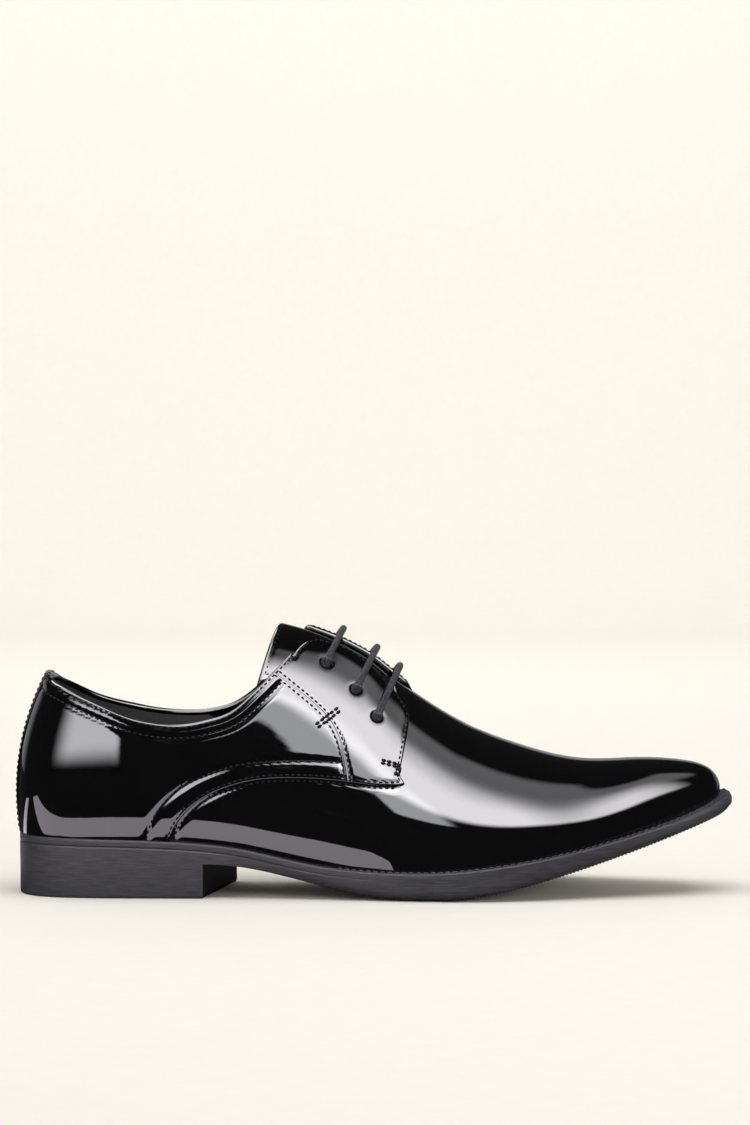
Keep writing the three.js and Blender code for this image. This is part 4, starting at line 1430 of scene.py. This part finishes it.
def noise(tree, place, scale, detail=3.0, stretch=(1, 1, 1), roughness=0.5):
    mapping = tree.nodes.new("ShaderNodeMapping")
    mapping.inputs["Scale"].default_value = stretch
    tree.links.new(place.outputs["Object"], mapping.inputs["Vector"])
    node = tree.nodes.new("ShaderNodeTexNoise")
    node.inputs["Scale"].default_value = scale
    node.inputs["Detail"].default_value = detail
    node.inputs["Roughness"].default_value = roughness
    tree.links.new(mapping.outputs["Vector"], node.inputs["Vector"])
    return node.outputs["Fac"]


def ramp(tree, source, stops):
    node = tree.nodes.new("ShaderNodeValToRGB")
    elements = node.color_ramp.elements
    for i, (place, colour) in enumerate(stops):
        element = elements[i] if i < len(elements) else elements.new(place)
        element.position = place
        element.color = (*colour, 1.0)
    tree.links.new(source, node.inputs["Fac"])
    return node.outputs["Color"]


def ranged(tree, source, low, high):
    node = tree.nodes.new("ShaderNodeMapRange")
    node.inputs["To Min"].default_value = low
    node.inputs["To Max"].default_value = high
    tree.links.new(source, node.inputs["Value"])
    return node.outputs["Result"]


def bump(tree, source, distance, strength, under=None):
    node = tree.nodes.new("ShaderNodeBump")
    node.inputs["Distance"].default_value = distance
    node.inputs["Strength"].default_value = strength
    tree.links.new(source, node.inputs["Height"])
    if under:
        tree.links.new(under, node.inputs["Normal"])
    return node.outputs["Normal"]


def shade(colour, factor):
    return tuple(min(c * factor, 1.0) for c in colour[:3])


def clouded(tree, shader, source, colour, dark, light, start=0.3, end=0.7):
    """Colour the finish between a darker and a lighter shade along a noise."""
    stops = [(start, shade(colour, dark)), (end, shade(colour, light))]
    tree.links.new(ramp(tree, source, stops), shader.inputs["Base Color"])


def tune(shader, **values):
    """Set plain values on the sockets of a finish, named with low lines for spaces."""
    for name, value in values.items():
        shader.inputs[name.replace("_", " ")].default_value = value


def patent_leather(colours):
    """Black leather under a clear lacquer that mirrors the room."""
    material, tree, shader, place = new_material("patent leather")
    clouded(tree, shader, noise(tree, place, 35, 2.0), colours.leather, 0.7, 1.3)
    tune(shader, Roughness=0.5, Specular_IOR_Level=0.0, Coat_Weight=1.0,
         Coat_Roughness=colours.lacquer_roughness, Coat_IOR=1.8)
    ripple = bump(tree, noise(tree, place, 32, 2.0), 0.0002, 0.4)
    peel = bump(tree, noise(tree, place, 420, 2.0), 0.00001, 0.25, ripple)
    tree.links.new(peel, shader.inputs["Coat Normal"])
    return material


def lining_leather(colours):
    """Matt black lining with a fine pored grain."""
    material, tree, shader, place = new_material("lining")
    pores = noise(tree, place, 1600, 5.0)
    cloud = noise(tree, place, 60, 3.0)
    clouded(tree, shader, cloud, colours.lining, 0.75, 1.3)
    tree.links.new(ranged(tree, cloud, 0.5, 0.68), shader.inputs["Roughness"])
    tune(shader, Specular_IOR_Level=0.03)
    tree.links.new(bump(tree, pores, 0.00008, 0.6), shader.inputs["Normal"])
    return material


def sole_rubber(colours):
    """Charcoal moulded rubber brushed along its side."""
    material, tree, shader, place = new_material("sole rubber")
    brushed = noise(tree, place, 1500, 4.0, (0.08, 0.08, 1.4))
    grain = noise(tree, place, 1500, 3.0)
    clouded(tree, shader, brushed, colours.rubber, 0.65, 1.4)
    tune(shader, Roughness=0.5, Specular_IOR_Level=0.4)
    hatch = bump(tree, brushed, 0.00016, 0.7)
    tree.links.new(bump(tree, grain, 0.00012, 0.6, hatch), shader.inputs["Normal"])
    return material


def painted_shade_rubber(colours):
    """The same rubber painted much darker on the breast of the heel: painted shade under the arch.
    """
    material, tree, shader, place = new_material("painted breast shade")
    grain = noise(tree, place, 1200, 4.0)
    clouded(tree, shader, grain, colours.rubber, 0.1, 0.28)
    tune(shader, Roughness=0.65, Specular_IOR_Level=0.2)
    tree.links.new(bump(tree, grain, 0.0002, 0.7), shader.inputs["Normal"])
    return material


BRAID_STRANDS = 8.0
BRAID_PACE = 5.2


def lace_cord(colours):
    """Waxed round lace with its braid showing: two sets of strands wound against each other."""
    material, tree, shader, place = new_material("waxed lace")

    def layer(name):
        node = tree.nodes.new("ShaderNodeAttribute")
        node.attribute_name = name
        return node.outputs["Fac"]

    def sum_of(operation, *sources):
        node = tree.nodes.new("ShaderNodeMath")
        node.operation = operation
        for socket, source in zip(node.inputs, sources):
            if isinstance(source, float):
                socket.default_value = source
            else:
                tree.links.new(source, socket)
        return node.outputs[0]
    run, turn = layer("run"), layer("turn")
    along = sum_of("MULTIPLY", run, BRAID_PACE)
    winding = BRAID_STRANDS * 2 * math.pi
    strands = [sum_of("SINE", sum_of("MULTIPLY_ADD", turn, sign * winding, along))
               for sign in (1, -1)]
    both = sum_of("MULTIPLY", *strands)
    fuzz = noise(tree, place, 1000, 4.0)
    clouded(tree, shader, fuzz, colours.lace, 0.35, 2.1, 0.35, 0.68)
    tune(shader, Roughness=0.42)
    braid = bump(tree, both, 0.0004, 0.9)
    tree.links.new(bump(tree, fuzz, 0.0003, 0.7, braid), shader.inputs["Normal"])
    return material


def thread(colours):
    """Black twisted polyester thread."""
    material, tree, shader, place = new_material("thread")
    twist = noise(tree, place, 3000, 2.0)
    clouded(tree, shader, twist, colours.thread, 0.6, 1.4)
    tune(shader, Roughness=0.6, Specular_IOR_Level=0.2)
    tree.links.new(bump(tree, twist, 0.00005, 0.6), shader.inputs["Normal"])
    return material


MAKERS = {"patent leather": patent_leather, "lining": lining_leather, "sole rubber": sole_rubber,
          "painted breast shade": painted_shade_rubber, "waxed lace": lace_cord, "thread": thread}


def finish_of(name):
    """The named finish, made the first time that it is asked for."""
    known = bpy.data.materials.get(name)
    return known or MAKERS[name](bpy.context.scene.shoe_colours)


# Studio
def stage_mesh(name, points, faces):
    mesh = bpy.data.meshes.new(name)
    mesh.from_pydata(points, [], faces)
    mesh.shade_smooth()
    piece = bpy.data.objects.new(name, mesh)
    bpy.context.scene.collection.objects.link(piece)
    return piece


def show_in_gloss_only(piece):
    for kind in ("camera", "diffuse", "shadow", "transmission"):
        setattr(piece, "visible_" + kind, False)


FLOOR_RADIUS = 2.3
SWEEP_RADIUS = 0.5
WALL_HEIGHT = 2.6
WALL_SIDES = 72


def make_floor(colours):
    """A pale round sweep: a flat floor that rises softly into a wall all round."""
    profile = [(FLOOR_RADIUS * share, 0.0) for share in (0.2, 0.5, 0.8, 1.0)]
    for angle in np.radians(np.linspace(7.5, 90, 12)):
        profile.append((FLOOR_RADIUS + SWEEP_RADIUS * math.sin(angle),
                        SWEEP_RADIUS * (1 - math.cos(angle))))
    profile.append((FLOOR_RADIUS + SWEEP_RADIUS, WALL_HEIGHT))
    around = np.arange(WALL_SIDES) * 2 * math.pi / WALL_SIDES
    points = [(r * math.cos(a), r * math.sin(a), z) for r, z in profile for a in around]
    faces = grid_faces(len(profile) - 1, WALL_SIDES, closed=True)
    faces.append(list(range(WALL_SIDES)))
    floor = stage_mesh("floor", points, faces)
    floor.visible_glossy = False
    material, tree, shader, place = new_material("pale paper")
    grain = noise(tree, place, 120, 3.0)
    clouded(tree, shader, grain, colours.floor, 0.985, 1.0)
    tune(shader, Roughness=0.9, Specular_IOR_Level=0.0)
    floor.data.materials.append(material)


def make_lit_table():
    """The lit strips of table that the lacquer and the sole mirror."""
    count = len(LIT_TABLE)
    points = [(x, y * side, TABLE_LIFT) for side in (1, -1) for x, y in LIT_TABLE]
    faces = [list(range(count)), list(range(2 * count - 1, count - 1, -1))]
    strip = stage_mesh("lit table", points, faces)
    show_in_gloss_only(strip)
    material, _, shader, _ = new_material("lit table")
    tune(shader, Base_Color=(0.9, 0.86, 0.95, 1.0), Specular_IOR_Level=0.0,
         Emission_Color=(1.0, 0.94, 1.05, 1.0), Emission_Strength=1.1)
    strip.data.materials.append(material)


def soft_share(value, low, high, low_fade, high_fade):
    return smooth((value - low) / low_fade) * smooth((high - value) / high_fade)


def make_softboxes():
    """The softboxes as one glowing dome with gaps, seen in glossy surfaces only."""
    azimuths = np.arange(-80.0, 270.1, DOME_STEP)
    heights = np.arange(-1.0, 88.1, DOME_STEP)
    azimuth, height = np.meshgrid(azimuths, heights)
    light = np.zeros((*azimuth.shape, 3))
    for row in SOFTBOXES:
        low = row["up"][0] + row["tilt"] * np.clip((azimuth - row["around"][0])
                                                   / (row["around"][1] - row["around"][0]), 0, 1)
        share = soft_share(azimuth, *row["around"], *row["side_fades"])
        share = share * soft_share(height, low, row["up"][1], *row["up_fades"])
        light += (row["glow"] * share)[..., None] * np.array(row["tint"])
    a, e = np.radians(azimuth), np.radians(height)
    points = np.stack([np.cos(e) * np.sin(a), -np.cos(e) * np.cos(a), np.sin(e)], -1)
    points = points.reshape(-1, 3) * DOME_RADIUS + (0, 0, DOME_LIFT)
    light = light.reshape(-1, 3)
    faces = [face for face in grid_faces(len(heights) - 1, len(azimuths) - 1)
             if light[face].max() > 0.02]
    points, light, faces = compact(faces, points, light)
    dome = stage_mesh("softboxes", points.tolist(), faces)
    glow = dome.data.attributes.new("glow", "FLOAT_VECTOR", "POINT")
    glow.data.foreach_set("vector", light.astype(np.float32).ravel())
    show_in_gloss_only(dome)
    material, tree, shader, _ = new_material("softboxes")
    tree.nodes.remove(shader)
    emission = tree.nodes.new("ShaderNodeEmission")
    emission.inputs["Strength"].default_value = 1.0
    level = tree.nodes.new("ShaderNodeAttribute")
    level.attribute_name = "glow"
    tree.links.new(level.outputs["Vector"], emission.inputs["Color"])
    tree.links.new(emission.outputs[0], tree.nodes["Material Output"].inputs["Surface"])
    dome.data.materials.append(material)


def area_light(name, place, target, size, power):
    light = bpy.data.lights.new(name, "AREA")
    light.shape = "RECTANGLE"
    light.size, light.size_y = size
    light.energy = power
    lamp = bpy.data.objects.new(name, light)
    bpy.context.scene.collection.objects.link(lamp)
    lamp.location = place
    lamp.rotation_euler = (Vector(target) - Vector(place)).to_track_quat("-Z", "Y").to_euler()
    lamp.visible_camera = False
    lamp.visible_glossy = False


# Softboxes in degrees: around from the outer side towards the toe, up from the floor. Tilt
# lifts the lower edge towards the toe end, and the fades soften each edge.
DOME_RADIUS = 0.7
DOME_LIFT = 0.05
DOME_STEP = 0.9
SOFTBOXES = [
    {"around": (-9, 64), "up": (26, 65), "tilt": 7, "glow": 8.8, "tint": (1.0, 0.98, 1.0),
     "side_fades": (6, 30), "up_fades": (6, 20)},
    {"around": (-9, 8), "up": (16.5, 42), "tilt": 7, "glow": 3.8, "tint": (0.96, 0.97, 1.0),
     "side_fades": (1, 5), "up_fades": (1, 16)},
    {"around": (-60, -17.2), "up": (1, 34), "tilt": 0, "glow": 5.6, "tint": (0.97, 0.97, 1.0),
     "side_fades": (22, 1), "up_fades": (8, 10)},
    {"around": (-110, 8), "up": (36, 88), "tilt": 0, "glow": 6.5, "tint": (1.0, 0.98, 1.0),
     "side_fades": (20, 14), "up_fades": (9, 14)},
    {"around": (15, 105), "up": (48, 71), "tilt": 0, "glow": 1.1, "tint": (0.97, 0.97, 1.0),
     "side_fades": (20, 20), "up_fades": (10, 5)},
    {"around": (110, 250), "up": (-2, 24), "tilt": 0, "glow": 0.4, "tint": (0.95, 0.95, 1.0),
     "side_fades": (20, 20), "up_fades": (1, 12)},
    {"around": (195, 265), "up": (44, 84), "tilt": 0, "glow": 7.0, "tint": (1.0, 0.98, 1.0),
     "side_fades": (8, 30), "up_fades": (5, 20)},
]
# Outline of the lit part of the table that shows in the leather, seen from above
LIT_TABLE = [(-0.45, -0.106), (-0.194, -0.107), (-0.141, -0.121), (-0.112, -0.127),
             (-0.06, -0.132), (-0.025, -0.102), (-0.005, -0.075), (0.002, -0.06),
             (-0.02, -0.0625), (-0.045, -0.0705), (-0.07, -0.0785), (-0.10, -0.079),
             (-0.13, -0.075), (-0.168, -0.067), (-0.2, -0.05), (-0.45, -0.04)]


TABLE_LIFT = 0.0004
# Soft lights for floor and matt parts: name, place, target and size in metres, power in watts
LIGHTS = [
    ("overhead light", (0.0, -0.2, 1.5), (0, -0.05, 0), (1.8, 1.3), 20.3),
    ("left light", (-1.3, -1.0, 0.7), (0, 0, 0.05), (0.7, 0.9), 3.5),
    ("right light", (1.1, -1.1, 0.45), (0, 0, 0.03), (0.9, 0.5), 7),
    ("back light", (0.0, 1.2, 1.8), (0, 2.6, 0.5), (2.6, 0.6), 28),
]


def make_world():
    scene = bpy.context.scene
    world = bpy.data.worlds.new("studio")
    world.use_nodes = True
    background = world.node_tree.nodes["Background"]
    background.inputs["Color"].default_value = (0.95, 0.95, 1.0, 1)
    background.inputs["Strength"].default_value = 0.03
    scene.world = world
    scene.view_settings.view_transform = "Standard"


# The view of the picture: millimetres of the shoe, and rows of pixels from the top
CAMERA_PLACE = (154.6, -1357.0, 175.0)
CAMERA_AIM = (154.6, 0.0, 60.0)
PICTURE_ROWS = 1125
AIM_ROW = 752


def make_camera():
    """A long lens low on the outer side, shifted so that the shoe stands low in the picture."""
    camera = bpy.data.cameras.new("camera")
    camera.lens = 100
    camera.sensor_fit = "VERTICAL"
    camera.sensor_height = 36
    camera.sensor_width = 24
    camera.shift_y = (AIM_ROW - PICTURE_ROWS / 2) / PICTURE_ROWS
    view = bpy.data.objects.new("camera", camera)
    bpy.context.scene.collection.objects.link(view)
    place, aim = to_scene(CAMERA_PLACE), to_scene(CAMERA_AIM)
    view.location = place
    view.rotation_euler = Vector(aim - place).to_track_quat("-Z", "Y").to_euler()
    bpy.context.scene.camera = view


# Settings
class ShoeSizes(bpy.types.PropertyGroup):
    stitch_pitch: FloatProperty(
        name="Stitch pitch", description="Length of one stitch of the seams",
        default=0.0025, min=0.0015, max=0.005, unit="LENGTH")
    thread_diameter: FloatProperty(
        name="Thread", description="Thickness of the thread",
        default=0.00085, min=0.0003, max=0.0015, unit="LENGTH")
    lace_diameter: FloatProperty(
        name="Lace", description="Thickness of the round lace",
        default=0.0028, min=0.0015, max=0.003, unit="LENGTH")
    tread_pitch: FloatProperty(
        name="Tread pitch", description="Distance between the fine ribs under the forefoot",
        default=0.0016, min=0.001, max=0.004, unit="LENGTH")


class ShoeColours(bpy.types.PropertyGroup):
    leather: FloatVectorProperty(
        name="Leather", description="Colour of the patent leather under its lacquer",
        default=(0.0015, 0.0015, 0.0018), subtype="COLOR", min=0, max=1)
    lining: FloatVectorProperty(
        name="Lining", description="Colour of the lining and the sock",
        default=(0.0035, 0.0035, 0.004), subtype="COLOR", min=0, max=1)
    rubber: FloatVectorProperty(
        name="Sole", description="Colour of the moulded sole",
        default=(0.036, 0.035, 0.043), subtype="COLOR", min=0, max=1)
    lace: FloatVectorProperty(
        name="Lace", description="Colour of the waxed lace",
        default=(0.042, 0.041, 0.047), subtype="COLOR", min=0, max=1)
    thread: FloatVectorProperty(
        name="Thread", description="Colour of the seams' thread",
        default=(0.003, 0.003, 0.0035), subtype="COLOR", min=0, max=1)
    floor: FloatVectorProperty(
        name="Floor", description="Colour of the floor and backdrop",
        default=(0.935, 0.907, 0.846), subtype="COLOR", min=0, max=1)
    lacquer_roughness: FloatProperty(
        name="Lacquer roughness", description="How soft the mirror of the lacquer is",
        default=0.03, min=0, max=0.3, subtype="FACTOR")


# Operators
class SHOE_OT_quarters(bpy.types.Operator):
    """Cut and shape the quarters with their facings and lining"""
    bl_idname = "shoe.quarters"
    bl_label = "Quarters"

    def execute(self, context):
        make_quarters(finish_of("patent leather"))
        make_lining(finish_of("lining"))
        return {"FINISHED"}


class SHOE_OT_vamp(bpy.types.Operator):
    """Shape the vamp over the toes"""
    bl_idname = "shoe.vamp"
    bl_label = "Vamp"

    def execute(self, context):
        make_vamp(finish_of("patent leather"))
        return {"FINISHED"}


class SHOE_OT_tongue(bpy.types.Operator):
    """Shape the padded tongue and sew its edge"""
    bl_idname = "shoe.tongue"
    bl_label = "Tongue"

    def execute(self, context):
        make_tongue(finish_of("patent leather"))
        make_tongue_stitches(finish_of("thread"), context.scene.shoe_sizes)
        return {"FINISHED"}


class SHOE_OT_back_strip(bpy.types.Operator):
    """Fold the strip over the back seam and the collar"""
    bl_idname = "shoe.back_strip"
    bl_label = "Back Strip"

    def execute(self, context):
        make_backstay(finish_of("patent leather"))
        make_back_stitches(finish_of("thread"), context.scene.shoe_sizes)
        return {"FINISHED"}


class SHOE_OT_stitching(bpy.types.Operator):
    """Sew the rows of the quarters and the vamp"""
    bl_idname = "shoe.stitching"
    bl_label = "Stitching"

    def execute(self, context):
        if "quarters" not in POCKET or "vamp" not in POCKET:
            raise RuntimeError("The quarters and the vamp come before their stitching")
        make_stitches(finish_of("thread"), context.scene.shoe_sizes)
        return {"FINISHED"}


class SHOE_OT_laces(bpy.types.Operator):
    """Lay the three lace bars through their eyelets"""
    bl_idname = "shoe.laces"
    bl_label = "Lace Bars"

    def execute(self, context):
        make_laces(finish_of("waxed lace"), context.scene.shoe_sizes.lace_diameter / MM)
        return {"FINISHED"}


class SHOE_OT_sole(bpy.types.Operator):
    """Mould the sole with its heel and welt stitches"""
    bl_idname = "shoe.sole"
    bl_label = "Sole"

    def execute(self, context):
        make_sole(finish_of("sole rubber"), context.scene.shoe_sizes)
        make_heel(finish_of("sole rubber"))
        make_welt_stitches(finish_of("sole rubber"))
        return {"FINISHED"}


class SHOE_OT_insole(bpy.types.Operator):
    """Lay the sock inside the shoe"""
    bl_idname = "shoe.insole"
    bl_label = "Insole"

    def execute(self, context):
        make_insole(finish_of("lining"))
        return {"FINISHED"}


class SHOE_OT_studio(bpy.types.Operator):
    """Set the pale sweep, the softboxes and the camera"""
    bl_idname = "shoe.studio"
    bl_label = "Studio"

    def execute(self, context):
        make_world()
        make_camera()
        make_floor(context.scene.shoe_colours)
        make_lit_table()
        for row in LIGHTS:
            area_light(*row)
        make_softboxes()
        return {"FINISHED"}


class SHOE_PT_panel(bpy.types.Panel):
    """Sizes, colours and steps of the shoe"""
    bl_idname = "SHOE_PT_panel"
    bl_label = "Patent Derby Shoe"
    bl_space_type = "VIEW_3D"
    bl_region_type = "UI"
    bl_category = "Shoe"

    def draw(self, context):
        layout = self.layout
        for group in (context.scene.shoe_sizes, context.scene.shoe_colours):
            box = layout.box()
            for name in group.__annotations__:
                box.prop(group, name)
        for operator in OPERATORS:
            layout.operator(operator.bl_idname)


OPERATORS = (SHOE_OT_studio, SHOE_OT_sole, SHOE_OT_insole, SHOE_OT_vamp, SHOE_OT_quarters,
             SHOE_OT_tongue, SHOE_OT_back_strip, SHOE_OT_stitching, SHOE_OT_laces)
GROUPS = (ShoeSizes, ShoeColours)


def register():
    for item in GROUPS + OPERATORS + (SHOE_PT_panel,):
        bpy.utils.register_class(item)
    bpy.types.Scene.shoe_sizes = PointerProperty(type=ShoeSizes)
    bpy.types.Scene.shoe_colours = PointerProperty(type=ShoeColours)


def unregister():
    del bpy.types.Scene.shoe_colours
    del bpy.types.Scene.shoe_sizes
    for item in reversed(GROUPS + OPERATORS + (SHOE_PT_panel,)):
        bpy.utils.unregister_class(item)


def main():
    register()
    for operator in OPERATORS:
        group, name = operator.bl_idname.split(".")
        getattr(getattr(bpy.ops, group), name)()


if __name__ == "__main__":
    main()
